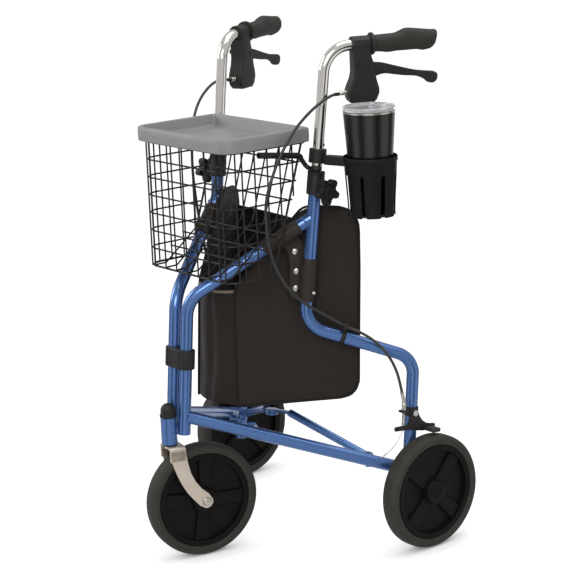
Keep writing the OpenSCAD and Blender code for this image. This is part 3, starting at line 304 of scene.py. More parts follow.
# A finish is two colours mixed by a tint pattern, a roughness range driven by a wear pattern, and bumps as pattern,
# strength and depth. A pattern is noise of a size in metres and a detail; a size alone is pebbles.
def coating(name, colours, tint, roughness, wear, bumps=(), skin=None):
    material = bpy.data.materials.new(name)
    tree = blank_tree(material)
    place = add(tree, "ShaderNodeTexCoord").outputs["Object"]

    @cache
    def pattern(size, detail=None, rough=0.5, stretch=None):
        spot = add(tree, "ShaderNodeMapping", {"Vector": place, "Scale": stretch}).outputs[0] if stretch else place
        if detail is None:
            return add(tree, "ShaderNodeTexVoronoi", {"Vector": spot, "Scale": 1 / size}).outputs["Distance"]
        drawn = {"Vector": spot, "Scale": 1 / size, "Detail": detail, "Roughness": rough}
        return add(tree, "ShaderNodeTexNoise", drawn).outputs["Fac"]

    inputs = dict(skin or {}, Roughness=ranged(tree, pattern(*wear), *roughness))
    if tint:
        mix = {"Factor": pattern(*tint), 6: srgb(colours[0]), 7: srgb(colours[1])}
        inputs["Base Color"] = add(tree, "ShaderNodeMix", mix, data_type="RGBA").outputs[2]
    else:
        inputs["Base Color"] = srgb(colours)
    for height, strength, depth in bumps:
        bump = {"Height": pattern(*height), "Strength": strength, "Distance": depth}
        if "Normal" in inputs:
            bump["Normal"] = inputs["Normal"]
        inputs["Normal"] = add(tree, "ShaderNodeBump", bump).outputs[0]
    made = add(tree, "ShaderNodeBsdfPrincipled", inputs)
    add(tree, "ShaderNodeOutputMaterial", {"Surface": made.outputs[0]})
    return material


# Powder coat with metal flake: a clear gloss over a mottled blue, flakes of about 0.6 mm drawn at 1.2 mm to show.
blue_paint = coating("metallic_blue_powder_coat", ("#33558f", "#5d83bd"), (0.0012, 2), (0.2, 0.3), (0.06, 3),
                     [((0.06, 3), 0.05, 0.0006)], {"Metallic": 0.7, "Coat Weight": 0.5, "Coat Roughness": 0.08})


def rail_w(r):
    return rail_front_w - rail_fall * r / leg_r


def weld(centre, along, bead=3.2, proud=0.4):
    spots = circle(0, 0, (tube_d + proud) / 2, steps=40)
    place = facing(centre, along)
    return sweep([[place @ Vector((x * mm, y * mm, 0)) for x, y in spots + spots[:1]]], bead, blue_paint, 10)


front_end = side(post_reach(joint_w) - joint_in, joint_w - joint_drop)
front_line = bent([side(0, front_foot_w), side(0, front_bend_w), front_end], [front_bend_r])
post_line = bent([post(post_top_w), post(post_bend_w), side(leg_r, leg_bend_w), side(leg_r, leg_foot_w)],
                 [post_bend_r, leg_bend_r])
rail_line = [side(r, rail_w(r)) for r in (rail_gap, leg_r - rail_gap)]
rail_dir = (rail_line[1] - rail_line[0]).normalized()
diagonal_dir = (front_line[-1] - front_line[-2]).normalized()
post_dir = (post(joint_w) - post(post_bend_w)).normalized()
cope, rail_cope, weld_slant = 0.0115, 0.0062, 0.35
joint_weld = weld(front_line[-1] - diagonal_dir * cope, (diagonal_dir + post_dir * weld_slant).normalized())
rail_welds = [weld(rail_line[0] + rail_dir * rail_cope, rail_dir), weld(rail_line[1] - rail_dir * rail_cope, rail_dir)]
front_tube = joined(sweep([front_line], tube_d, blue_paint), joint_weld)
post_tube = sweep([post_line], tube_d, blue_paint)
lower_rail = joined(sweep([rail_line], tube_d, blue_paint), *rail_welds)

# Pivot tabs of the folding brace
# A flat tab is welded inside each lower rail and carries a pin that the brace link turns on.


def prism(outline, low, high, finish):
    form = bmesh.new()
    face = form.faces.new([form.verts.new((x * mm, y * mm, low * mm)) for x, y in outline])
    grown = bmesh.ops.extrude_face_region(form, geom=[face])
    lifted = [g for g in grown["geom"] if isinstance(g, bmesh.types.BMVert)]
    bmesh.ops.translate(form, verts=lifted, vec=(0, 0, (high - low) * mm))
    bmesh.ops.recalc_face_normals(form, faces=form.faces)
    return closed(form, finish)


def softened(mesh, width, segments=3, least=28):
    form = bmesh.new()
    form.from_mesh(mesh)
    sharp = [e for e in form.edges if len(e.link_faces) == 2 and e.calc_face_angle(0) > radians(least)]
    bmesh.ops.bevel(form, geom=sharp, offset=width * mm, segments=segments, profile=0.6, affect="EDGES",
                    clamp_overlap=True)
    form.to_mesh(mesh)
    form.free()
    return mesh


def lathe(profile, finish, steps=48):
    form = bmesh.new()
    rings = []
    for radius, height in profile:
        spots = circle(0, 0, radius, steps=steps if radius else 1)
        rings.append([form.verts.new((x * mm, y * mm, height * mm)) for x, y in spots])
    pairs = list(zip(rings, rings[1:]))
    if profile[0][0] and profile[-1][0]:
        pairs.append((rings[-1], rings[0]))
    for low, high in pairs:
        for i in range(steps):
            a, b = low[i % len(low)], low[(i + 1) % len(low)]
            c, d = high[(i + 1) % len(high)], high[i % len(high)]
            corners = list(dict.fromkeys((a, b, c, d)))
            if len(corners) > 2:
                form.faces.new(corners)
    bmesh.ops.recalc_face_normals(form, faces=form.faces)
    return closed(form, finish)


def bush(inner, outer, low, high, finish, steps=48, edge=0.8):
    return softened(lathe([(inner, low), (outer, low), (outer, high), (inner, high)], finish, steps), edge, 2)


def pin(radius, low, high, finish, steps=28):
    return lathe([(0, low), (radius, low), (radius, high), (0, high)], finish, steps)


def slab(x0, x1, y0, y1, low, high, finish, edge, segments=2):
    return softened(prism([(x0, y0), (x1, y0), (x1, y1), (x0, y1)], low, high, finish), edge, segments)


def put(mesh, place):
    mesh.transform(place)
    return mesh


across = turned(pi / 2, "Y")
upright_plane = Matrix(((0, 0, 1, 0), (1, 0, 0, 0), (0, 1, 0, 0), (0, 0, 0, 1)))
link_r, tab_n, tab_t, tab_r, link_d, link_gap = 327, 25, 5, 8, 14, 0.4
link_w = rail_w(link_r)
tab_low = link_w - link_d / 2 - link_gap - tab_t
tab = softened(prism([(0, -tab_r), (0, tab_r)] + circle(-tab_n, 0, tab_r, 90, 270), 0, tab_t, blue_paint), 0.8, 2)
put(tab, at_side @ moved(0, link_r, tab_low))
tab_pin = lathe([(0, 0), (3.5, 0), (3.5, 21), (2.8, 21.7), (0, 21.7)], blue_paint, 24)
put(tab_pin, at_side @ moved(-tab_n, link_r, tab_low))
pair("painted_front_tube", front_tube, "frame", "front_tube")
pair("painted_post_tube", post_tube, "frame", "post_tube")
pair("painted_lower_rail", joined(lower_rail, tab, tab_pin), "frame", "lower_rail")

# Folding brace links
# Two round links with flattened eyes hinge in the middle behind the head tube, so the side frames open to one width.
brace_y, brace_w, eye_d, eye_t, eye_layer = 208, 19, 22, 5, 2.7
tongue_l, tongue_in, tongue_half = 36, 7, 5.5
bar_start, bar_flat, sleeve_bore, sleeve_r = 0.045, 0.86, 3.6, 8
link_turn = atan2(link_r * cos(splay) + tab_n * sin(splay) - brace_y,
                  hinge_x + link_r * sin(splay) - tab_n * cos(splay))
eye_outline = circle(0, 0, eye_d / 2, 30, 330) + [(tongue_l + tongue_in, s * tongue_half) for s in (-1, 1)]
for name, layer in (("left", eye_layer), ("right", -eye_layer)):
    eye_place = at_hinge @ moved(0, brace_y, brace_w + layer) @ turned(link_turn, "Z")
    start, stop = side(link_r, link_w, -tab_n), eye_place @ Vector((tongue_l * mm, 0, 0))
    bar = sweep([[start.lerp(stop, bar_start), start.lerp(stop, bar_flat), stop]], link_d, blue_paint, 24)
    eye = put(softened(prism(eye_outline, -eye_t / 2, eye_t / 2, blue_paint), 1, 2), eye_place)
    sleeve = bush(sleeve_bore, sleeve_r, -link_d / 2, link_d / 2, blue_paint, 32, 0.6)
    put(sleeve, at_side @ moved(-tab_n, link_r, link_w))
    link = joined(bar, eye, sleeve)
    piece(f"brace_link.{name}", link if layer > 0 else mirrored(link), f"{name}_link", [f"{name}_brace_link"])

# Head tube and front hinge
# A short steel head tube is welded to the left front tube and holds the caster stem in two nylon bushes under a
# moulded dome cap. A ring and a bolted nylon clamp let the right front tube turn beside the left one.

# Moulded nylon: near black, with a sparked grain of about 1 mm.
black_nylon = coating("moulded_black_nylon", ("#171614", "#262421"), (0.03, 2), (0.42, 0.62), (0.0011, 3),
                      [((0.0011, 3), 0.25, 0.0002)], {"IOR": 1.53, "Specular IOR Level": 0.28})
# Zinc plated steel: a soft bright metal with a faint yellowish bloom.
zinc_steel = coating("zinc_plated_steel", ("#b9b4a8", "#d9d7d2"), (0.004, 3), (0.24, 0.4), (0.004, 3),
                     skin={"Metallic": 1.0})
head_z, head_h, head_r, head_bore_r = 212, 49, 14, 12.2
half_head = [(head_bore_r, 0), (head_r - 1, 0), (head_r, 1)]
head = lathe([(r, head_z + z) for r, z in half_head] +
             [(r, head_z + head_h - z) for r, z in reversed(half_head)], blue_paint)
web_w, web_half, web_in, web_out, web_below, web_above = 20, 3, 11.5, 11.2, 10, 3
ring_bore, ring_r, ring_low, ring_high = 11.2, 15.2, 10, 23
foot = side(0, web_w)
web_turn = atan2(foot.y - stem_y, foot.x)
web_l, web_z = hypot(foot.x, foot.y - stem_y) / mm, foot.z / mm
webs = [put(slab(web_in, web_l - web_out, -web_half, web_half, web_z - web_below, web_z + web_above, blue_paint, 1),
            at_stem @ turned(a, "Z")) for a in (web_turn, pi - web_turn)]
hinge_ring = put(bush(ring_bore, ring_r, ring_low, ring_high, blue_paint), at_hinge @ moved(-hinge_x, 0, 0))
piece("head_tube_and_ring", joined(put(head, at_stem), *webs, hinge_ring), "left_frame", ["head_tube"])
dome = [(0, 285), (3.4, 284.6), (6.7, 283.4), (9.6, 281.2), (11.8, 278.2), (12.9, 274.8), (13.1, 271), (13.2, 266.2),
        (14.6, 265.4), (14.8, 264.6), (14.8, 261.6), (14.2, 261.1), (0, 261.1)]
piece("stem_dome_cap", put(lathe(dome, black_nylon), at_stem), "left_frame", ["head_cap"])
low_bush = [(6.06, 210), (13, 210), (13, 211.9), (11.9, 211.9), (11.9, 224), (6.06, 224)]
high_bush = [(6.06, 249), (11.9, 249), (11.9, 261), (6.06, 261)]
stem_bushes = joined(*(lathe(profile, black_nylon, 32) for profile in (low_bush, high_bush)))
piece("stem_bush_pair", put(stem_bushes, at_stem), "left_frame", ["stem_bushes"])
clamp_r, clamp_low, clamp_high, seam_half = 15.5, 126, 160, 0.6
clamp_outline = circle(hinge_x, 0, clamp_r, -90, 90) + circle(-hinge_x, 0, clamp_r, 90, 270)
clamp = softened(prism(clamp_outline, clamp_low, clamp_high, black_nylon), 2.2, 3)
seams = [slab(x - seam_half, x + seam_half, -16.2, -15, clamp_low + 1, clamp_high - 1, black_nylon, 0.2, 1)
         for x in (-hinge_x, hinge_x)]
piece("front_hinge_clamp", put(joined(clamp, *seams), at_hinge), "left_frame", ["hinge_clamp"])
screw = [(0, -1.2), (1.6, -1.2), (1.8, 0.5), (2.6, 0.5), (3, 0), (3, -8), (0, -8)]
heads = [put(lathe(screw, black_nylon, 24), at_hinge @ moved(x, -15.6, z) @ turned(pi / 2, "X"))
         for x, z in ((-8.5, 152.5), (-8.5, 133.5), (8.5, 139))]
piece("clamp_screws", joined(*heads), "left_frame", ["hinge_clamp_screws"])

# Wheels: moulded rubber tyres on nylon hubs
# Each 203 mm wheel is one moulded nylon hub with four flared spokes and a rim, and a solid grey-black rubber tyre
# pressed over it.
wheel_r, trail, swivel, wheel_x, axle_y = 101.5, 55, radians(13), 269, 362
hub_half, blind_bore, spoke_count, rear_hub_turn, front_hub_turn = 19, 12.4, 4, radians(45), radians(84)
# Tyre rubber: grey-black, scuffed in patches of about 18 mm, with a fine grit.
tyre_rubber = coating("moulded_grey_tyre_rubber", ("#282724", "#3b3a36"), (0.018, 6, 0.65), (0.58, 0.8),
                      (0.018, 6, 0.65), [((0.0012, 2), 0.3, 0.0003)], {"IOR": 1.52, "Specular IOR Level": 0.22})
# Hub nylon: a deeper black than the other mouldings, a little dusty.
hub_nylon = coating("moulded_hub_nylon", ("#0a0807", "#151210"), (0.02, 5), (0.45, 0.62), (0.02, 5),
                    skin={"IOR": 1.53, "Specular IOR Level": 0.12})
half_tyre = [(85, 13.6), (87, 15.2), (91, 16.4), (91.6, 16.1), (92.2, 16.5), (95.5, 16), (98.4, 14.4), (100.4, 11.6),
             (101.3, 8), (101.5, 4), (101.5, 0)]
tyre_ring = half_tyre + [(r, -z) for r, z in reversed(half_tyre[:-1])]
spoke_wheel, given = form_group("spokes_round_the_boss", {"Spoke": "Geometry", "Count": "Int", "Finish": "Material"})
row = add(spoke_wheel, "GeometryNodeMeshLine", {"Count": given["Count"], "Offset": (0, 0, 0)})
order = add(spoke_wheel, "GeometryNodeInputIndex").outputs[0]
angle = maths(spoke_wheel, "MULTIPLY", order, maths(spoke_wheel, "DIVIDE", 2 * pi, given["Count"]))
turn = add(spoke_wheel, "ShaderNodeCombineXYZ", {"Z": angle})
spread = {"Points": row.outputs[0], "Instance": given["Spoke"], "Rotation": turn.outputs[0]}
end_group(spoke_wheel, add(spoke_wheel, "GeometryNodeInstanceOnPoints", spread).outputs[0], given["Finish"])


def hub_mesh(boss_profile):
    rim = bush(75, 84.9, -13.5, 13.5, hub_nylon, 96, 1.2)
    lip = lathe([(79.5, 13.4), (83.6, 13.4), (83, 14.6), (80.2, 14.6)], hub_nylon, 96)
    web = lathe([(20, 4.5), (60, 4), (76, 5), (76, -5), (60, -4), (20, -4.5)], hub_nylon, 96)
    blade = softened(prism([(18, -10), (79, -14), (79, 14), (18, 10)], -10, 10, hub_nylon), 2.4, 3)
    spokes = through(spoke_wheel, blade, Count=spoke_count, Finish=hub_nylon)
    return joined(rim, lip, web, lathe(boss_profile, hub_nylon), spokes)


capped_boss = [(5.1, -hub_half), (5.1, blind_bore), (0, blind_bore), (0, hub_half - 1.6), (9, hub_half - 1.6),
               (10, hub_half), (18, hub_half), (20.5, hub_half - 1.5), (22, hub_half - 5), (22, 4 - hub_half),
               (20.5, -hub_half), (5.1, -hub_half)]
half_boss = [(5.1, hub_half), (14, hub_half), (16, hub_half - 1.5), (21, hub_half - 3), (22, hub_half - 6)]
open_boss = half_boss + [(r, -z) for r, z in reversed(half_boss)]
at_wheel = at_stem @ moved(wheel_x, axle_y, wheel_r) @ across
pair("rear_tyre", put(lathe(tyre_ring, tyre_rubber, 128), at_wheel), "wheel", "tyre")
pair("rear_hub", put(hub_mesh(capped_boss), at_wheel @ turned(rear_hub_turn, "Z")), "wheel", "hub")
at_caster = at_stem @ turned(-swivel, "Z")
at_front = at_caster @ moved(0, trail, wheel_r) @ across
front_tyre = put(lathe(tyre_ring, tyre_rubber, 128), at_front)
piece("front_tyre_rubber", front_tyre, "front_wheel", ["front_tyre"])
front_hub = put(hub_mesh(open_boss), at_front @ turned(front_hub_turn, "Z"))
piece("front_hub_nylon", front_hub, "front_wheel", ["front_hub"])

# Caster fork
# The fork is pressed from 4 mm steel plate: a folded crown with two arms that sweep back to the axle, welded to a
# turned stem and plated in satin nickel.

# Satin nickel: a warm plate over steel, brushed along the arms.
brushed = (0.0016, 4, 0.5, (1, 1, 0.12))
satin_nickel = coating("satin_nickel_plate", ("#cdbfae", "#e6dccf"), (0.05, 2), (0.36, 0.52), brushed,
                       [(brushed, 0.1, 0.0002)], {"Metallic": 0.85})
fork_t, arm_in, crown_top, fold_r, skirt_z = 4, 19.4, 209.6, 7, -26
crown_back, crown_front, dropout_r = -19.8, 8.8, 11.5
outer, rise = arm_in + fork_t, crown_top - wheel_r
front_shares = [(-0.16, 0.97), (-0.15, 0.85), (-0.07, 0.68), (0.04, 0.52), (0.2, 0.34), (0.36, 0.2), (0.56, 0.07),
                (0.78, -0.06)]
back_shares = [(1.17, 0.05), (1.08, 0.13), (0.84, 0.24), (0.64, 0.38), (0.5, 0.53), (0.42, 0.7), (0.37, 0.85),
               (0.36, 0.97)]
front_edge, back_edge = ([(a * trail, b * rise) for a, b in shares] for shares in (front_shares, back_shares))
arm_outline = front_edge + circle(trail, 0, dropout_r, -150, 30, 14) + back_edge
arms = [put(softened(prism(arm_outline, low, low + fork_t, satin_nickel), 0.9, 2),
            at_caster @ moved(0, 0, wheel_r) @ upright_plane) for low in (-outer, arm_in)]
bend_x, tight_r = outer - fold_r, fold_r - fork_t
channel = [(-outer, skirt_z)] + circle(-bend_x, -fold_r, fold_r, 180, 90, 8)
channel += circle(bend_x, -fold_r, fold_r, 90, 0, 8) + [(outer, skirt_z), (arm_in, skirt_z)]
channel += circle(bend_x, -fold_r, tight_r, 0, 90, 8) + circle(-bend_x, -fold_r, tight_r, 90, 180, 8)
channel += [(-arm_in, skirt_z)]
crown = softened(prism(channel, crown_back, crown_front, satin_nickel), 0.7, 2)
put(crown, at_caster @ moved(0, 0, crown_top) @ turned(pi / 2, "X"))
stem = [(0, 204.8), (9.5, 204.8), (9.5, 209), (8, 209.9), (6, 209.9), (6, 259), (5, 260), (0, 260)]
fork = joined(crown, put(lathe(stem, satin_nickel, 40), at_stem), *arms)
piece("caster_fork", fork, "front_fork", ["front_fork"])
axle_r, bolt_head, bolt_head_h = 5, 17, 6


def axle_bolt(length):
    hexagon = softened(prism(circle(0, 0, bolt_head / 2, steps=6), -bolt_head_h, 0, zinc_steel), 0.8, 2)
    shank = [(0, -0.2), (axle_r, -0.2), (axle_r, length - 0.8), (axle_r - 0.8, length), (0, length)]
    return joined(hexagon, lathe(shank, zinc_steel, 32))


front_reach = outer + 0.1
nut = lathe([(0, 0), (8.2, 0), (8.4, 1.2), (7.4, 4), (4.5, 5.6), (0, 6)], zinc_steel, 32)
front_bolt = joined(put(axle_bolt(2 * front_reach), moved(0, 0, -front_reach)), put(nut, moved(0, 0, front_reach)))
piece("front_axle", put(front_bolt, at_front), "front_fork", ["front_axle_bolt"])

# Rear axles
# A plate and boss welded to the foot of each leg carry the axle bolt; the open end of the leg has a black plug.


def at_leg(w):
    return Matrix.Translation(side(leg_r, w)) @ turned(-lean, "X")


axle_w, boss_in, boss_out, head_gap, boss_r, axle_bore_r = -75.5, 6, 10.6, 0.05, 12, 5.1
plate_lap, plate_half_h, plate_half_t, hub_depth = 5, 13, 3, 12
leg_x, leg_y = side(leg_r, axle_w).x / mm, (side(leg_r, axle_w).y - stem_y) / mm
plate = slab(leg_y + plate_lap, axle_y, -plate_half_h, plate_half_h, -plate_half_t, plate_half_t, blue_paint, 1)
put(plate, at_stem @ moved(leg_x, 0, wheel_r) @ upright_plane)
at_axle = at_stem @ moved(leg_x, axle_y, wheel_r) @ across
boss = put(bush(axle_bore_r, boss_r, -boss_in, boss_out, blue_paint, 40), at_axle)
bolt_in = boss_in + head_gap
axle = put(axle_bolt(wheel_x + hub_depth - leg_x + bolt_in), at_axle @ moved(0, 0, -bolt_in))
plug_profile = [(0, -3), (8, -3), (10.6, -1.8), (10.8, -0.2), (9, 0), (9, 8), (0, 8)]
plug = put(lathe(plug_profile, black_nylon, 32), at_leg(leg_foot_w))
pair("axle_plate", joined(plate, boss), "frame", "axle_plate")
pair("axle_bolt", axle, "frame", "axle_bolt")
pair("leg_plug", plug, "frame", None)

# Post collars and star knobs
# A nylon collar caps each post, and a star knob on a stud in its boss locks the chrome upright at its height.


def at_post(w):
    return at_side @ moved(0, post_reach(w), w) @ turned(-post_tilt, "X") @ turned(splay, "Z")


upright_d, collar_top, knob_w = 18.88, 473, 442
lobe_count, lobe_r, valley_r, lobe_fall, knob_low, knob_high = 5, 24, 14.8, 0.0021, 24.6, 38.4
stud_r, stud_bore_r, stud_low, stud_high, knob_boss_r, knob_boss_low, knob_boss_high = 4, 4.1, 13, 25, 8.5, 11.5, 24
collar = lathe([(11.05, -40), (14.2, -40), (15, -39), (15, -9), (14.6, -8), (14.6, -6.4), (15, -5.4), (15, -1.2),
                (14, 0), (9.9, 0), (9.9, -5.9), (11.05, -5.9)], black_nylon)
at_knob = at_post(knob_w) @ across
knob_boss = put(bush(stud_bore_r, knob_boss_r, knob_boss_low, knob_boss_high, black_nylon, 32), at_knob)
collar = joined(put(collar, at_post(collar_top)), knob_boss)
star = []
for i in range(lobe_count):
    lobe = 360 / lobe_count * i
    rays = [(lobe + t * 0.42, lobe_r - lobe_fall * t * t - (0 if abs(t) < 50 else 0.4)) for t in range(-60, 61, 15)]
    rays.append((lobe + 180 / lobe_count, valley_r))
    star += [(r * cos(radians(a)), r * sin(radians(a))) for a, r in rays]
knob_body = softened(prism(star, knob_low, knob_high, black_nylon), 2.6, 3, 20)
knob_face = lathe([(0, 38.2), (9, 38.2), (9.6, 39), (9, 40), (6, 40.8), (0, 41)], black_nylon, 32)
knob = put(joined(knob_body, knob_face, pin(stud_r, stud_low, stud_high, zinc_steel, 24)), at_knob)

# Chrome uprights
# Polished chrome tubes slide in the posts and bend back into the handle bars. A small black button sits in each one.
chrome = coating("polished_chrome", "#dedbd6", None, (0.06, 0.16), (0.01, 4), skin={"Metallic": 1.0})
upright_foot_w, button_w, grip_out, bar_l, bar_bend_r = 310, 518, radians(22), 0.195, 48
grip_base = post(682.5)
grip_dir = Vector((sin(grip_out), cos(grip_out), 0))


def at_grip(along):
    return Matrix.Translation(grip_base + grip_dir * (along * mm)) @ turned(-grip_out, "Z")


bar_line = bent([post(upright_foot_w), grip_base, grip_base + grip_dir * bar_l], [bar_bend_r], 20)
button = lathe([(r, upright_d / 2 + z) for r, z in ((0, 1.3), (1.6, 1.1), (2.6, 0.3), (2.8, -1), (0, -1))],
               black_nylon, 20)
put(button, at_post(button_w) @ turned(radians(40), "Z") @ across)
upright = joined(sweep([bar_line], upright_d, chrome, 40), button)

# Brake housings and levers
# A moulded nylon housing clamps on the bar behind the bend and hangs down to the cable barrel. The lever pivots on a
# steel pin in the housing and is squeezed up to the grip.
housing_start, housing_l, housing_h, housing_half = 44, 34, 100, 13.5
lever_y, lever_drop, lever_l, lever_t = 30, 38, 122, 12
at_housing = at_grip(housing_start)
at_lever = at_housing @ moved(0, lever_y, -lever_drop)
shell_shares = [(0.02, 0.1), (0.03, -0.45), (-0.04, -0.56), (-0.2, -0.68), (-0.29, -0.76), (-0.3, -0.86),
                (-0.2, -0.94), (0.02, -1), (0.98, -1), (1.2, -0.94), (1.35, -0.82), (1.34, -0.74), (1.22, -0.6),
                (1.14, -0.45), (1.1, -0.33), (0.98, -0.2), (0.97, 0.1)]
shell_outline = [(a * housing_l, b * housing_h) for a, b in shell_shares]
shell = softened(prism(shell_outline, -housing_half, housing_half, black_nylon), 4.5, 4, 40)
put(shell, at_housing @ upright_plane)
bar_clamp = put(bush(9.6, 14.4, 0.3, housing_l - 0.2, black_nylon, 40, 1.2), at_housing @ turned(-pi / 2, "X"))
plain_oval = lathe([(0, 1.1), (6.6, 0.9), (7.2, 0.3), (7.2, -1), (0, -1)], black_nylon, 40)
put(plain_oval, at_housing @ moved(housing_half, 18, -84) @ across @ Matrix.Diagonal((0.6, 1.5, 1, 1)))
side_bolt = lathe([(0, 1.2), (2.2, 1.2), (2.4, 2.4), (4.2, 2.2), (4.6, 1), (4.6, -1), (0, -1)], black_nylon, 28)
put(side_bolt, at_housing @ moved(housing_half - 0.4, 6, -33) @ across)
barrel_profile = [(0, 0), (4, 0), (4, 3), (3.2, 3.4), (3.2, 5), (4, 5.4), (4, 11), (3.4, 11.8), (0, 11.8)]
barrel = put(lathe(barrel_profile, zinc_steel, 28), at_housing @ moved(0, -9.8, -80) @ turned(pi / 2, "X"))
pivot_pin = put(pin(3.6, -housing_half - 0.8, housing_half + 0.8, black_nylon), at_lever @ across)
housing = joined(shell, bar_clamp, plain_oval, side_bolt, barrel, pivot_pin)


def curve_through(points, parts, loop=False):
    last = len(points) - 1
    line = []
    for i in range(last + 1 if loop else last):
        spots = [i + k for k in (-1, 0, 1, 2)]
        a, b, c, d = (points[k % (last + 1) if loop else min(max(k, 0), last)] for k in spots)
        for t in (k / parts for k in range(parts)):
            line.append((2 * b + (c - a) * t + (2 * a - 5 * b + 4 * c - d) * t * t
                         + (3 * b - a - 3 * c + d) * t ** 3) / 2)
    return line if loop else line + [points[-1]]


lever_shares = [(-0.06, 0.02), (-0.03, 0.05), (0.06, 0.054), (0.2, 0.04), (0.36, -0.005), (0.55, -0.06), (0.7, -0.098),
                (0.84, -0.12), (0.96, -0.135), (1.015, -0.17), (1.02, -0.22), (1, -0.268), (0.95, -0.296),
                (0.88, -0.285), (0.82, -0.235), (0.7, -0.185), (0.5, -0.16), (0.33, -0.13), (0.22, -0.115),
                (0.12, -0.135), (0.05, -0.16), (-0.03, -0.12), (-0.06, -0.02)]
lever_outline = curve_through([Vector(share) * lever_l for share in lever_shares], 4, True)
lever = softened(prism(lever_outline, -lever_t / 2, lever_t / 2, black_nylon), 3.4, 4, 60)
put(lever, at_lever @ upright_plane)

# Rubber grips
# Soft rubber grips with a flange against the housing, a raised palm rest and a finger swell under the rear end.

# Grip rubber: soft and dull, pebbled at about 2 mm.
grip_rubber = coating("soft_grip_rubber", ("#201e1b", "#312e2a"), (0.03, 3), (0.55, 0.72), (0.03, 3),
                      [((0.0022,), 0.22, 0.0004)], {"IOR": 1.5, "Specular IOR Level": 0.3})
grip_start, grip_steps, waist_r, palm_rise = 78.2, 40, 14.2, 7
grip_profile = [(0, 9.6), (0, 18), (1.2, 19), (4.2, 19), (5.6, 17.6), (7, 14.6), (10, waist_r)]
grip_profile += [(10 + 4 * i, waist_r + 1.2 * sin(pi * i / 24)) for i in range(1, 24)]
grip_profile += [(106, 14.4), (110, 14.8), (113, 14.6), (115.4, 13.2), (116.8, 10), (117.4, 5), (117.6, 0)]


def ramp(value, start, length):
    return min(max((value - start) / length, 0), 1)


def skinned(form, rings, skip=lambda row, i: False):
    steps = len(rings[0])
    for row, (low, high) in enumerate(zip(rings, rings[1:])):
        for i in range(steps):
            if not skip(row, i):
                form.faces.new((low[i], low[(i + 1) % steps], high[(i + 1) % steps], high[i]))


form = bmesh.new()
rings = []
for y, r in grip_profile:
    onset = ramp(y, 42, 24)
    palm = palm_rise * onset * onset * (3 - 2 * onset) * (1 - 0.8 * ramp(y, 72, 45))
    finger = exp(-((y - 100) / 11) ** 2) * 3 + exp(-((y - 32) / 10) ** 2) * 1.6
    slant = 0.34 * ramp(y, 80, 34)
    verts = []
    for i in range(grip_steps):
        a = 2 * pi * i / grip_steps
        z = r * sin(a)
        if r > 12:
            z += palm * max(0, sin(a)) ** 1.6 - finger * max(0, -sin(a)) ** 3
        verts.append(form.verts.new((r * cos(a) * mm, (y + slant * z) * mm, z * mm)))
    rings.append(verts)
skinned(form, rings)
bmesh.ops.remove_doubles(form, verts=form.verts, dist=1e-6)
bmesh.ops.recalc_face_normals(form, faces=form.faces)
grip = put(closed(form, grip_rubber), at_grip(grip_start))
pair("post_collar", collar, "frame", "post_collar")
pair("height_knob", knob, "knob", "height_knob")
pair("chrome_upright", upright, "handle", "upright")
pair("brake_housing", housing, "handle", "brake_housing")
pair("brake_lever", lever, "lever", "brake_lever")
pair("rubber_grip", grip, "handle", "grip")

# Rear brakes
# A band on the leg carries a pivoted arm whose shoe presses on the tyre. The cable ends in a barrel on the band's stop,
# and its bare inner wire runs through a return spring to the front of the arm.
brake_w, arm_x, pivot_y, cable_y, stop_w, stop_t = 56, 15, -8, -32, 64, 4
at_brake = at_leg(brake_w)
band = lathe([(11.1, -8), (12, -8), (12.5, -7.2), (12.5, 7.2), (12, 8), (11.1, 8)], black_nylon, 40)
pivot_boss = put(bush(3.1, 7, 11, 12.5, black_nylon, 28, 0.4), moved(0, pivot_y, 0) @ across)
stop_outline = [(9, -39), (22, -39), (22, -25), (12.6, -25), (12.6, -6), (9, -6)]
stop = softened(prism(stop_outline, stop_w - stop_t - brake_w, stop_w - brake_w, black_nylon), 0.8, 2)
bracket = put(joined(band, pivot_boss, stop), at_brake)
bolt_hex = softened(prism(circle(0, 0, 6, steps=6), 17.4, 21.6, zinc_steel), 0.7, 2)
pivot_bolt = put(joined(pin(3, 11.2, 17.5, zinc_steel, 24), bolt_hex), at_brake @ moved(0, pivot_y, 0) @ across)
rear_barrel = lathe([(0, -4), (2, -4), (2, 0.1), (4, 0.1), (4, 3), (3.3, 3.3), (3.3, 5), (4, 5.4), (4, 12.6), (3, 14),
                     (0, 14)], zinc_steel, 28)
fittings = joined(pivot_bolt, put(rear_barrel, at_leg(stop_w) @ moved(arm_x, cable_y, 0)))
arm_reach, arm_drop, arm_t = 52, 36, 4
shoe_x, shoe_y, shoe_z = (13, 39), (18.2, 36.6), (-34.9, -28)
arm_shares = [(-0.81, -0.57), (-0.83, -0.67), (-0.81, -0.78), (-0.4, -0.8), (-0.12, -0.83), (0.2, -0.92), (0.42, -0.97),
              (0.85, -0.97), (0.98, -0.88), (1, -0.78), (0.97, -0.7), (0.76, -0.66), (0.58, -0.6), (0.4, -0.44),
              (0.26, -0.2), (0.15, 0.16), (0, 0.22), (-0.14, 0.16), (-0.16, -0.1), (-0.18, -0.36), (-0.26, -0.55)]
arm_outline = [(a * arm_reach, b * arm_drop) for a, b in arm_shares]
arm = softened(prism(arm_outline, -arm_t / 2, arm_t / 2, black_nylon), 0.9, 2)
put(arm, at_brake @ moved(arm_x, pivot_y, 0) @ upright_plane)
arm = joined(arm, put(slab(*shoe_x, *shoe_y, *shoe_z, tyre_rubber, 2, 3), at_brake))
spring_low, spring_high, spring_turns, coil_r, coil_steps = 36.4, 59.1, 14, 2.5, 16


def at(x, y, z):
    return Vector((x * mm, stem_y + y * mm, z * mm))


def on_cable(w, x=0, y=0):
    return at_leg(w) @ Vector(((arm_x + x) * mm, (cable_y + y) * mm, 0))


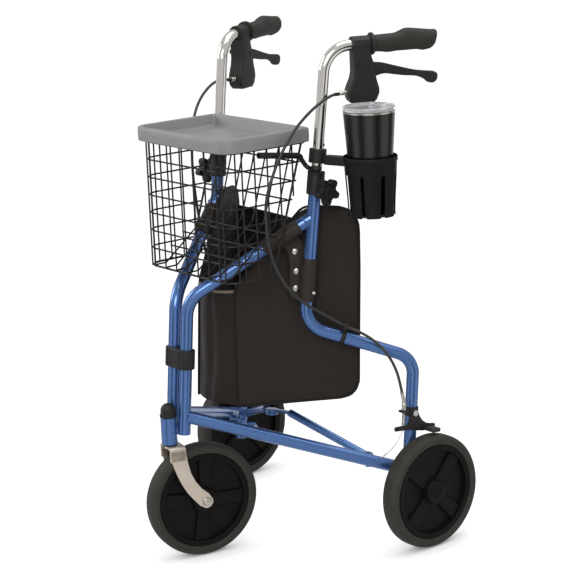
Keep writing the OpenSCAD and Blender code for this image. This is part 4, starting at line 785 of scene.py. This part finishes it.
coil = []
for t in range(coil_steps * spring_turns + 1):
    a = 2 * pi * t / coil_steps
    climb = (spring_high - spring_low) * t / (coil_steps * spring_turns)
    coil.append(on_cable(spring_low + climb, coil_r * cos(a), coil_r * sin(a)))
spring = sweep([coil], 1, zinc_steel, 8)
inner_low, tail_end = on_cable(brake_w - 29), at(250, 272, 181)
sag = Vector((0, 0.004, -0.006))
tail = bent([on_cable(stop_w - stop_t), inner_low, (inner_low + tail_end) / 2 + sag, tail_end], [8, 60], 8)
tail_cap = [tail_end + Vector((0.0006, 0.005, 0.0045)), tail_end - Vector((0.0002, 0.0012, 0.001))]
inner_wire = joined(sweep([tail], 1.5, zinc_steel, 10), sweep([tail_cap], 2.6, zinc_steel, 14))
pair("brake_band", bracket, "frame", "brake_bracket")
pair("brake_fittings", fittings, "frame", "brake_hardware")
pair("brake_shoe_arm", arm, "brake_arm", "brake_arm")
pair("inner_wire", inner_wire, "brake_arm", None)
springs = pair("return_spring", spring, None, "brake_spring")
for name, sign, made in zip(("left", "right"), (1, -1), springs):
    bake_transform(made)

# Brake cables
# Black plastic sleeved cables run from the housing barrels, round the front of the posts and along the sloping tubes,
# where a clip ties each one, to the barrels at the rear brakes.

# Cable sleeve: extruded black vinyl, slightly glossy.
cable_black = coating("extruded_cable_sleeve", ("#1d1c1b", "#31302e"), (0.006, 2), (0.3, 0.42), (0.006, 2),
                      skin={"IOR": 1.5})
cable_d, sheath_d, ferrule_d = 5, 6, 6.4
leg_route = [(177.5, 257, 404), (192, 275, 393), (210, 291, 378), (230, 304, 355), (245, 313, 322), (254, 319, 270.5)]
left_route = [(150, 283, 800), (154, 264, 800), (155, 240, 792), (152, 214, 776), (148, 186, 751), (144, 157, 712),
              (141, 134, 666), (139, 125, 632), (138, 125, 600), (138, 127, 570), (140, 136, 530), (146, 155, 490),
              (152, 173, 467), (158, 194, 448), (165, 219, 431)]
right_route = [(150, 283, 800), (152, 272, 803), (158, 258, 801), (165, 243, 790), (169, 226, 770), (167, 210, 742),
               (165, 201, 700), (164, 198, 650), (162, 200, 600), (160, 205, 550), (158, 212, 500), (158, 222, 460),
               (166, 237, 428)]
for name, sign, route in (("left", 1, left_route), ("right", -1, right_route)):
    line = curve_through([at(sign * x, y, z) for x, y, z in route + leg_route], 8)
    sleeved = sweep([line], cable_d, cable_black, 16)
    cable = piece(f"brake_cable.{name}", sleeved, None, [f"{name}_brake_cable"])
    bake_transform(cable)
    sheath_end = piece(f"cable_sheath_end.{name}", sweep([line[:6]], sheath_d, black_nylon, 20), f"{name}_handle", [])
    ferrule = piece(f"cable_ferrule.{name}", sweep([line[-4:]], ferrule_d, zinc_steel, 20), f"{name}_frame", [])
slope_from, slope_to, clip_share = post(post_bend_w), side(leg_r, leg_bend_w), 0.345
at_clip = facing(slope_from.lerp(slope_to, clip_share), (slope_to - slope_from).normalized())
clip_half, eye_aside, eye_above = 4, 9, 20
clip = put(bush(11.1, 12.6, -clip_half, clip_half, black_nylon, 36, 0.5), at_clip)
clip_eye = put(bush(4.8, 6.6, -clip_half, clip_half, black_nylon, 28, 0.5), moved(eye_aside, 0, eye_above) @ at_clip)
neck = [at_clip.to_translation() + Vector(step) * mm for step in ((5.2, 0, 11.6), (6.6, 0, 14.6))]
clip = joined(clip, clip_eye, sweep([neck], 6, black_nylon, 16))
pair("cable_clip", clip, "frame", "cable_clip")

# Wire basket
# Welded 3 mm wire, dip coated black, on 4 mm rims. The floor slopes up over the diagonals, and two hooks rest on
# the post collars.

# Dip coat: black vinyl with slight runs.
black_dip = coating("black_dip_coated_wire", ("#151413", "#252320"), (0.008, 3), (0.32, 0.5), (0.008, 3),
                    skin={"IOR": 1.5, "Specular IOR Level": 0.3})
basket_x, basket_front, basket_low, basket_high, corner_r = 122, 60, 503, 722.6, 28
rear_low, rear_high, floor_front, floor_rear_z, floor_step = 155, 225, 80, 577, 27
wire_d, rim_d, hook_d, arm_d, wire_out, level_count = 3, 4, 8, 10.6, 3.1, 8
column_half, column_count = 94, 7
rear_slope = (basket_high - basket_low) / (rear_high - rear_low)


def rear_of(z):
    return rear_low + (z - basket_low) / rear_slope


def hoop(z):
    corners = [(-basket_x, rear_of(z)), (-basket_x, basket_front), (basket_x, basket_front), (basket_x, rear_of(z))]
    return bent([at(x, y, z) for x, y in corners], [corner_r, corner_r], 10)


def upstand(x, y, low=basket_low):
    return [at(x, y, low), at(x, y, basket_high)]


levels = [basket_low + (basket_high - basket_low) * i / (level_count - 1) for i in range(level_count)]
thin = [hoop(z) for z in levels[1:-1]]
thick = [hoop(levels[0]), hoop(levels[-1])]
floor_slope = (floor_rear_z - basket_low) / (rear_of(floor_rear_z) - floor_front)
floor_z, front_y = basket_low + wire_out, basket_front - wire_out
for i in range(column_count):
    x = column_half * (2 * i / (column_count - 1) - 1)
    column = [(front_y, basket_high), (front_y, basket_low), (front_y + 4, floor_z), (floor_front, floor_z),
              (rear_of(floor_rear_z), floor_rear_z + wire_out + wire_d / 2), (rear_high - wire_d, basket_high)]
    thin.append(bent([at(x, y, z) for y, z in column], [2, 2, 6, 6], 4))
for s in (-1, 1):
    for y in (88, 115, 142, 169, 196):
        low = basket_low if y < rear_low else basket_low + (y - rear_low) * rear_slope + wire_d
        thin.append(upstand(s * (basket_x + wire_out), y, low))
    slope_ends = ((rear_low, basket_low), (rear_high, basket_high))
    thick.append([at(s * (basket_x - wire_out), y - wire_d, z) for y, z in slope_ends])
    bows = circle(basket_x - corner_r, -basket_front - corner_r, corner_r + wire_out, 22.5, 67.5, 1)
    thin += [upstand(s * x, -y) for x, y in bows]
reach = basket_x - 2 * wire_out
for y in (floor_front + floor_step * k for k in (1, 2, 3)):
    z = floor_z + wire_out + (y - floor_front) * floor_slope + 0.1
    thin.append([at(-reach, y, z), at(reach, y, z)])
for z in levels[4:]:
    thin.append([at(s * reach, rear_of(z) - wire_d - wire_out, z) for s in (-1, 1)])
hook_mid = at_post(collar_top + 6.4).to_translation()
hook_points = [at(130.7, 120, 715), at(130.7, 207, 703)]
hook_points += [hook_mid + Vector(step) * mm for step in ((-8, -15, 0), (15, -15, 0), (15, -5, 0))]
hook = bent(hook_points, [12, 8, 9], 10)
arm_line = bent(hook_points[:3], [12], 8)[:-1]
hooks, hook_arms = ([line, [Vector((-p.x, p.y, p.z)) for p in line]] for line in (hook, arm_line))
basket = joined(sweep(thin, wire_d, black_dip, 10), sweep(thick, rim_d, black_dip, 12),
                sweep(hooks, hook_d, black_dip, 20), sweep(hook_arms, arm_d, black_dip, 20))
piece("wire_basket", basket, "basket", ["basket"])

# Grey tray
# A moulded grey tray drops over the basket's rim: a broad rounded rim round a shallow dish, square at the back corners.

# Moulded ABS: mid grey with a fine satin grain.
grey_abs = coating("moulded_grey_abs", ("#707173", "#808183"), (0.08, 3), (0.42, 0.6), (0.0015, 2),
                   [((0.0015, 2), 0.15, 0.0002)], {"IOR": 1.53})
tray_x, tray_y, tray_front, tray_z, tray_h, front_r, rear_r = 134, 185, 48, 724.5, 24, 30, 10


def tray_ring(inset, z):
    x0, y0, y1 = tray_x - inset, tray_front + inset, tray_front + tray_y - inset
    f, b = max(front_r - inset, 8), max(rear_r - inset * 0.5, 4)
    outline = circle(x0 - f, y0 + f, f, -90, 0, 12) + circle(x0 - b, y1 - b, b, 0, 90, 8)
    outline += circle(b - x0, y1 - b, b, 90, 180, 8) + circle(f - x0, y0 + f, f, 180, 270, 12)
    return [at(x, y, tray_z + z) for x, y in outline]


form = bmesh.new()
tray_rows = [(5, 0), (1.2, 0), (0.4, 0.8), (0, 12), (0.3, tray_h - 2.4), (1.4, tray_h - 0.7), (3, tray_h), (8, tray_h),
             (9.8, tray_h - 0.6), (10.8, tray_h - 2.2), (12.5, 8), (14, 5.4), (17, 4.2), (24, 4)]
rings = [[form.verts.new(p) for p in tray_ring(inset, z)] for inset, z in tray_rows]
skinned(form, rings)
form.faces.new(rings[-1])
form.faces.new(list(reversed(rings[0])))
bmesh.ops.recalc_face_normals(form, faces=form.faces)
piece("grey_tray", closed(form, grey_abs), "tray", ["tray"])

# Cup holder and tumbler
# A nylon clamp on the left upright carries a slotted tapered cup. A satin black steel tumbler with a clear lid stands
# in it.
cup_clamp_w, cup_clamp_h, cup_x, cup_y, holder_z, cup_steps, cup_wall = 487, 24, 99, 31.5, 605, 96, 2.4
clamp_mid = at_post(cup_clamp_w + cup_clamp_h / 2).to_translation()
cup_axis = clamp_mid + Vector((cup_x, cup_y, 0)) * mm
cup_clamp = lathe([(9.5, 0), (14, 0), (14.9, 1), (14.9, cup_clamp_h - 1), (14, cup_clamp_h), (9.5, cup_clamp_h)],
                  black_nylon)
piece("cup_clamp_ring", put(cup_clamp, at_post(cup_clamp_w)), "left_handle", ["cup_clamp"])
wall_rows = [(41.6, 0), (41, 5), (41.2, 16), (42, 31), (43, 46), (44, 61), (44.6, 71), (45.4, 88), (45.6, 92),
             (47, 93.5), (47, 99.5), (46.2, 101)]
form = bmesh.new()
rings = [[form.verts.new((x * mm, y * mm, z * mm)) for x, y in circle(0, 0, r - 1.25, steps=cup_steps)]
         for r, z in wall_rows]
skinned(form, rings, lambda row, i: i % 12 < 3 and row < 6)
bmesh.ops.solidify(form, geom=form.faces[:], thickness=cup_wall * mm)
bmesh.ops.recalc_face_normals(form, faces=form.faces)
cup = softened(closed(form, black_nylon), 0.7, 2, 50)
base = lathe([(0, 1), (37, 1), (39.2, 2), (39.2, 5), (0, 5)], black_nylon, 64)
arm_z = clamp_mid.z / mm - cup_clamp_h / 4 - holder_z
reach_in, reach_out = 45.5, hypot(cup_x, cup_y) - 15.1
cup_arm = prism([(-reach_out, -8), (-reach_in, -9), (-reach_in, 9), (-reach_out, 8)], arm_z - 8, arm_z + 8, black_nylon)
holder = joined(put(joined(cup, base), turned(0.13, "Z")), softened(cup_arm, 3.4, 4))
put(holder, Matrix.Translation((cup_axis.x, cup_axis.y, holder_z * mm)) @ turned(atan2(cup_y, cup_x), "Z"))
piece("slotted_cup_holder", holder, "left_handle", ["cup_holder"])
# Satin black: a tinted coat over steel, brushed round the cup.
spun = (0.0012, 3, 0.5, (0.1, 0.1, 1))
satin_black = coating("satin_black_coated_steel", ("#3c3b3a", "#474645"), spun, (0.26, 0.36), spun,
                      skin={"Metallic": 1.0})
# Clear polystyrene: a slightly misty lid.
clear_lid = coating("clear_polystyrene_lid", "#f2f4f6", None, (0.05, 0.14), (0.02, 2),
                    skin={"IOR": 1.45, "Transmission Weight": 0.75, "Alpha": 0.9})
at_cup = Matrix.Translation((cup_axis.x, cup_axis.y, (holder_z + 5.4) * mm))
body = lathe([(0, 0), (30.6, 0), (32, 1.4), (37.8, 86), (43.4, 169), (43.5, 171), (43, 172), (42, 172), (41.5, 171),
              (36, 86), (30.2, 3), (0, 2.4)], satin_black, 72)
band_ring = lathe([(42.9, 168.6), (43.6, 168.8), (43.7, 171.4), (42.9, 171.6)], zinc_steel, 72)
piece("steel_tumbler", put(joined(body, band_ring), at_cup), "tumbler", ["tumbler"])
lid_profile = [(0, 172.3), (43.4, 172.3), (43.5, 178), (42.6, 179), (40.5, 179), (39.6, 176.4), (0, 175.4)]
lid = lathe(lid_profile, clear_lid, 72)
lid_tab = slab(-5, 5, 4, 26, 175.4, 178.2, clear_lid, 1)
piece("tumbler_clear_lid", put(joined(lid, lid_tab), at_cup), "tumbler", ["tumbler_lid"])

# Soft bag
# A woven nylon bag hangs between the side frames. Each stiffened side panel has a sleeve round the post and one round
# the diagonal, closed with snaps; gussets front and back and a sagging floor join the panels and crease in the fold.

# Woven nylon: brown-black, a plain weave of 1.6 mm threads, crumpled in patches of about 70 mm. The crumple noise also
# picks the colour, as painted shade: darker in the hollows of the crumples, lighter on their crests.
bag_cloth = bpy.data.materials.new("woven_brown_black_nylon")
tree = blank_tree(bag_cloth)
thread_w, crumple_w = 0.0016, 0.07
spin = add(tree, "ShaderNodeMapping", {"Vector": add(tree, "ShaderNodeUVMap", uv_map="threads").outputs[0]}).outputs[0]
waves = {"Vector": spin, "Scale": 1 / (thread_w * 2 * pi) * 2, "Distortion": 0.3}
warp, weft = (add(tree, "ShaderNodeTexWave", waves, bands_direction=d).outputs["Fac"] for d in "XY")
weave = maths(tree, "MULTIPLY", warp, weft)
crumple_place = add(tree, "ShaderNodeTexCoord").outputs["Object"]
patches = {"Vector": crumple_place, "Scale": 1 / crumple_w, "Detail": 5.0, "Roughness": 0.55}
crumple = add(tree, "ShaderNodeTexNoise", patches).outputs["Fac"]
# Painted shade: the crumple height that the bump raises also lightens the cloth, so its hollows are painted darker.
crumple_shade_colours = {"Factor": crumple, 6: srgb("#26211d"), 7: srgb("#3a322c")}
threads = {"Factor": weave, 6: srgb("#201b18"), 7: add(tree, "ShaderNodeMix", crumple_shade_colours, data_type="RGBA").outputs[2]}
bump = add(tree, "ShaderNodeBump", {"Height": weave, "Strength": 0.35, "Distance": 0.0004}).outputs[0]
creases = {"Height": crumple, "Strength": 0.5, "Distance": 0.004, "Normal": bump}
woven = add(tree, "ShaderNodeBsdfPrincipled", {
    "Base Color": add(tree, "ShaderNodeMix", threads, data_type="RGBA").outputs[2],
    "Roughness": ranged(tree, crumple, 0.6, 0.78), "Normal": add(tree, "ShaderNodeBump", creases).outputs[0],
    "IOR": 1.5, "Specular IOR Level": 0.2, "Sheen Weight": 0.06, "Sheen Roughness": 0.4})
add(tree, "ShaderNodeOutputMaterial", {"Surface": woven.outputs[0]})
# Binding tape: ribbed about every 2 mm, black at the panels and pale brown along the front top edge.
black_tape = coating("black_binding_tape", ("#121110", "#211f1d"), (0.0018, 2), (0.55, 0.75), (0.0018, 2),
                     [((0.0018, 2), 0.4, 0.0004)], {"Specular IOR Level": 0.2})
pale_tape = coating("pale_brown_binding_tape", ("#5f5349", "#857769"), (0.002, 2), (0.5, 0.7), (0.002, 2))
# Coated nylon of the straps: the same cloth with a smoother face, its threads too fine to see, soft creases at 25 mm.
# The crease pattern also picks the colour, as painted shade: darker in the crease hollows, lighter on their ridges.
strap_cloth = coating("coated_nylon_strap", ("#221d1a", "#352d27"), (0.025, 4), (0.5, 0.7), (0.025, 4),
                      [((0.025, 4), 0.5, 0.003), ((0.0012, 1), 0.25, 0.0003)], {"IOR": 1.5, "Specular IOR Level": 0.25})


def along_line(points, count):
    lengths = [0]
    for a, b in zip(points, points[1:]):
        lengths.append(lengths[-1] + dist(a, b))
    out = []
    for i in range(count + 1):
        want = lengths[-1] * i / count
        k = max(j for j in range(len(points) - 1) if lengths[j] <= want + 1e-9)
        t = (want - lengths[k]) / max(lengths[k + 1] - lengths[k], 1e-9)
        out.append(tuple(a + (b - a) * t for a, b in zip(points[k], points[k + 1])))
    return out


def patch(low, far, high, near, cols, rows):
    b, t = ([Vector(p) for p in along_line(line, cols)] for line in (low, high))
    l, r = ([Vector(p) for p in along_line(line, rows)] for line in (near, far))
    grid = []
    for j in range(rows + 1):
        v = j / rows
        line = []
        for i in range(cols + 1):
            u = i / cols
            corners = ((1 - u) * b[0] + u * b[cols]) * (1 - v) + ((1 - u) * t[0] + u * t[cols]) * v
            line.append((1 - v) * b[i] + v * t[i] + (1 - u) * l[j] + u * r[j] - corners)
        grid.append(line)
    return grid


def cloth(grid, threads, thickness, finish):
    form = bmesh.new()
    layer = form.loops.layers.uv.new("threads")
    verts = [[form.verts.new(p) for p in line] for line in grid]
    spot = {v: threads[j][i] for j, line in enumerate(verts) for i, v in enumerate(line)}
    for low, high in zip(verts, verts[1:]):
        for i in range(len(low) - 1):
            face = form.faces.new((low[i], low[i + 1], high[i + 1], high[i]))
            for loop in face.loops:
                loop[layer].uv = spot[loop.vert]
    bmesh.ops.recalc_face_normals(form, faces=form.faces)
    bmesh.ops.solidify(form, geom=form.faces[:], thickness=thickness * mm)
    return closed(form, finish)


panel_cols, panel_rows, panel_t, gusset_t = 44, 52, 2.2, 1.8
panel_n, piping_n, flap_n, gusset_n = -15.6, -15, -9.6, -16.5
panel_low = [(92, 56), (150, 62), (220, 69), (272, 74), (289, 79), (298.5, 89)]
panel_far = [(298.5, 89), (303, 104), (301, 160), (296.5, 300), (293, 366), (291, 382), (284, 397)]
panel_high = [(284, 397), (272, 406), (256, 410), (220, 410.5), (198, 409), (190, 404), (184, 397)]
panel_near = [(92, 56), (88.5, 110), (84, 190), (80.5, 255), (84, 268), (118, 312), (160, 366), (184, 397)]
flat = patch(panel_low, panel_far, panel_high, panel_near, panel_cols, panel_rows)
panel_grid = []
for j, line in enumerate(flat):
    row = []
    for i, (r, w) in enumerate(line):
        u, v = i / panel_cols, j / panel_rows
        puff = (1 - exp(-min(u, 1 - u, v, 1 - v) * 14)) * 2.2
        crumpled = noise.noise(Vector((r / 46, w / 70, 3.1))) * 1.6
        row.append(side(r, w, panel_n + puff + min(crumpled, 0.9)))
    panel_grid.append(row)
panel = cloth(panel_grid, [[(r * mm, w * mm) for r, w in line] for line in flat], panel_t, bag_cloth)
cut = panel_low + panel_far[1:] + panel_high[1:] + list(reversed(panel_near))[1:-1]
edge_line = [tuple(side(r, w, piping_n)) for r, w in cut + cut[:1]]
piping = sweep([along_line(edge_line, 160)], 4.4, black_tape, 12)


def shell_round(a, b):
    length = (b - a).length / mm
    profile = [(11.4, 0), (13, 0), (13.4, 1), (13.3, length * 0.3), (13.5, length * 0.55), (13.3, length * 0.8),
               (13.4, length - 1), (13, length), (11.4, length)]
    return put(lathe(profile, strap_cloth, 40), facing(a, (b - a).normalized()))


def on_diagonal(r):
    return side(r, front_bend_w + (joint_w - front_bend_w) * r / post_reach(joint_w))


sleeves = [shell_round(post(248), post(322)), shell_round(on_diagonal(128), on_diagonal(188))]
flap_outline = [(174, 258), (177, 250), (185, 246), (203, 246), (206, 330), (192, 352), (178, 374), (152, 352),
                (170, 330), (174, 310)]
flap = put(softened(prism(flap_outline, -1, 1, strap_cloth), 0.5, 2), at_side @ moved(flap_n, 0, 0) @ upright_plane)
hem_line = [tuple(side(r, w, flap_n + 0.8)) for r, w in flap_outline[7:] + flap_outline[:4]]
flap_hem = sweep([along_line(hem_line, 40)], 3, black_tape, 10)
snaps = []
for r, w, n, size in ((183, 332, -8.4, 6.2), (187, 298, -8.4, 6.2), (187, 268, -8.4, 6.2), (215.5, 264, 13.2, 3.4)):
    snap = [(0, 2.2), (size * 0.5, 2), (size * 0.86, 1.2), (size, 0), (size, -0.6), (0, -0.6)]
    snaps.append(put(lathe(snap, zinc_steel, 28), at_side @ moved(n, r, w) @ across))
panels = pair("bag_side", panel, "frame", "bag_panel")
trims = pair("bag_straps", joined(piping, *sleeves, flap, flap_hem, *snaps), "frame", "bag_panel")


def across_bag(edge, columns, bulged):
    grid, threads = [], []
    for r, w, lift in edge:
        start = side(r, w + lift, gusset_n)
        spots = [(u, start.x * (1 - 2 * u)) for u in (i / columns for i in range(columns + 1))]
        grid.append([Vector((x, start.y, start.z)) + Vector(bulged(u, x, r, w)) * mm for u, x in spots])
        threads.append([(x, (r if lift else w) * mm) for u, x in spots])
    return grid, threads


def gusset_form(bulge, seed, top_w):
    def bulged(u, x, r, w):
        lift = sin(pi * u)
        fold = exp(-((u - 0.5 - 0.03 * sin(w / 40)) / 0.1) ** 2)
        wave = noise.noise(Vector((x * 22, w / 75, seed))) * 5 * lift
        return 0, bulge * lift - 4 * copysign(1, bulge) * fold + wave, -3 * lift if w == top_w else 0
    return bulged


def floor_form(u, x, r, w):
    return 0, 0, -7 * sin(pi * u) - noise.noise(Vector((x * 20, r / 40, 8.3))) * 1.5


front_rows, rear_rows, gusset_cols, floor_rows, floor_cols = 30, 34, 48, 14, 40
front_edge = [(91.5 - 11 * i / front_rows, 58 + 200 * i / front_rows, 0) for i in range(front_rows + 1)]
rear_edge = [(299 - 9 * i / rear_rows, 92 + 276 * i / rear_rows, 0) for i in range(rear_rows + 1)]
for name, edge, bulge, seed, hem_d, tape, size in (
    ("front", front_edge, -15, 1.7, 5.4, pale_tape, (0.11, 0.2)),
    ("rear", rear_edge, 5, 4.2, 5, black_tape, (0.34, 0.28)),
):
    grid, threads = across_bag(edge, gusset_cols, gusset_form(bulge, seed, edge[-1][1]))
    made = piece(f"bag_{name}_gusset", cloth(grid, threads, gusset_t, bag_cloth), None, ["bag_gussets"])
    hem = sweep([[p + up * mm for p in grid[-1]]], hem_d, tape, 12)
    binding = piece(f"bag_{name}_binding", hem, None, [])
    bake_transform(binding)
    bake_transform(made)
floor_line = [(94, 59), (130, 62.5), (170, 66.5), (210, 70), (250, 74), (280, 78), (296, 88)]
for part in range(3):
    edge = [(r, w, 1.5) for r, w in along_line(floor_line[2 * part:2 * part + 3], floor_rows)]
    grid, threads = across_bag(edge, floor_cols, floor_form)
    made = piece(f"bag_floor.{part}", cloth(grid, threads, gusset_t, bag_cloth), None, ["bag_floor"])
    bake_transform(made)
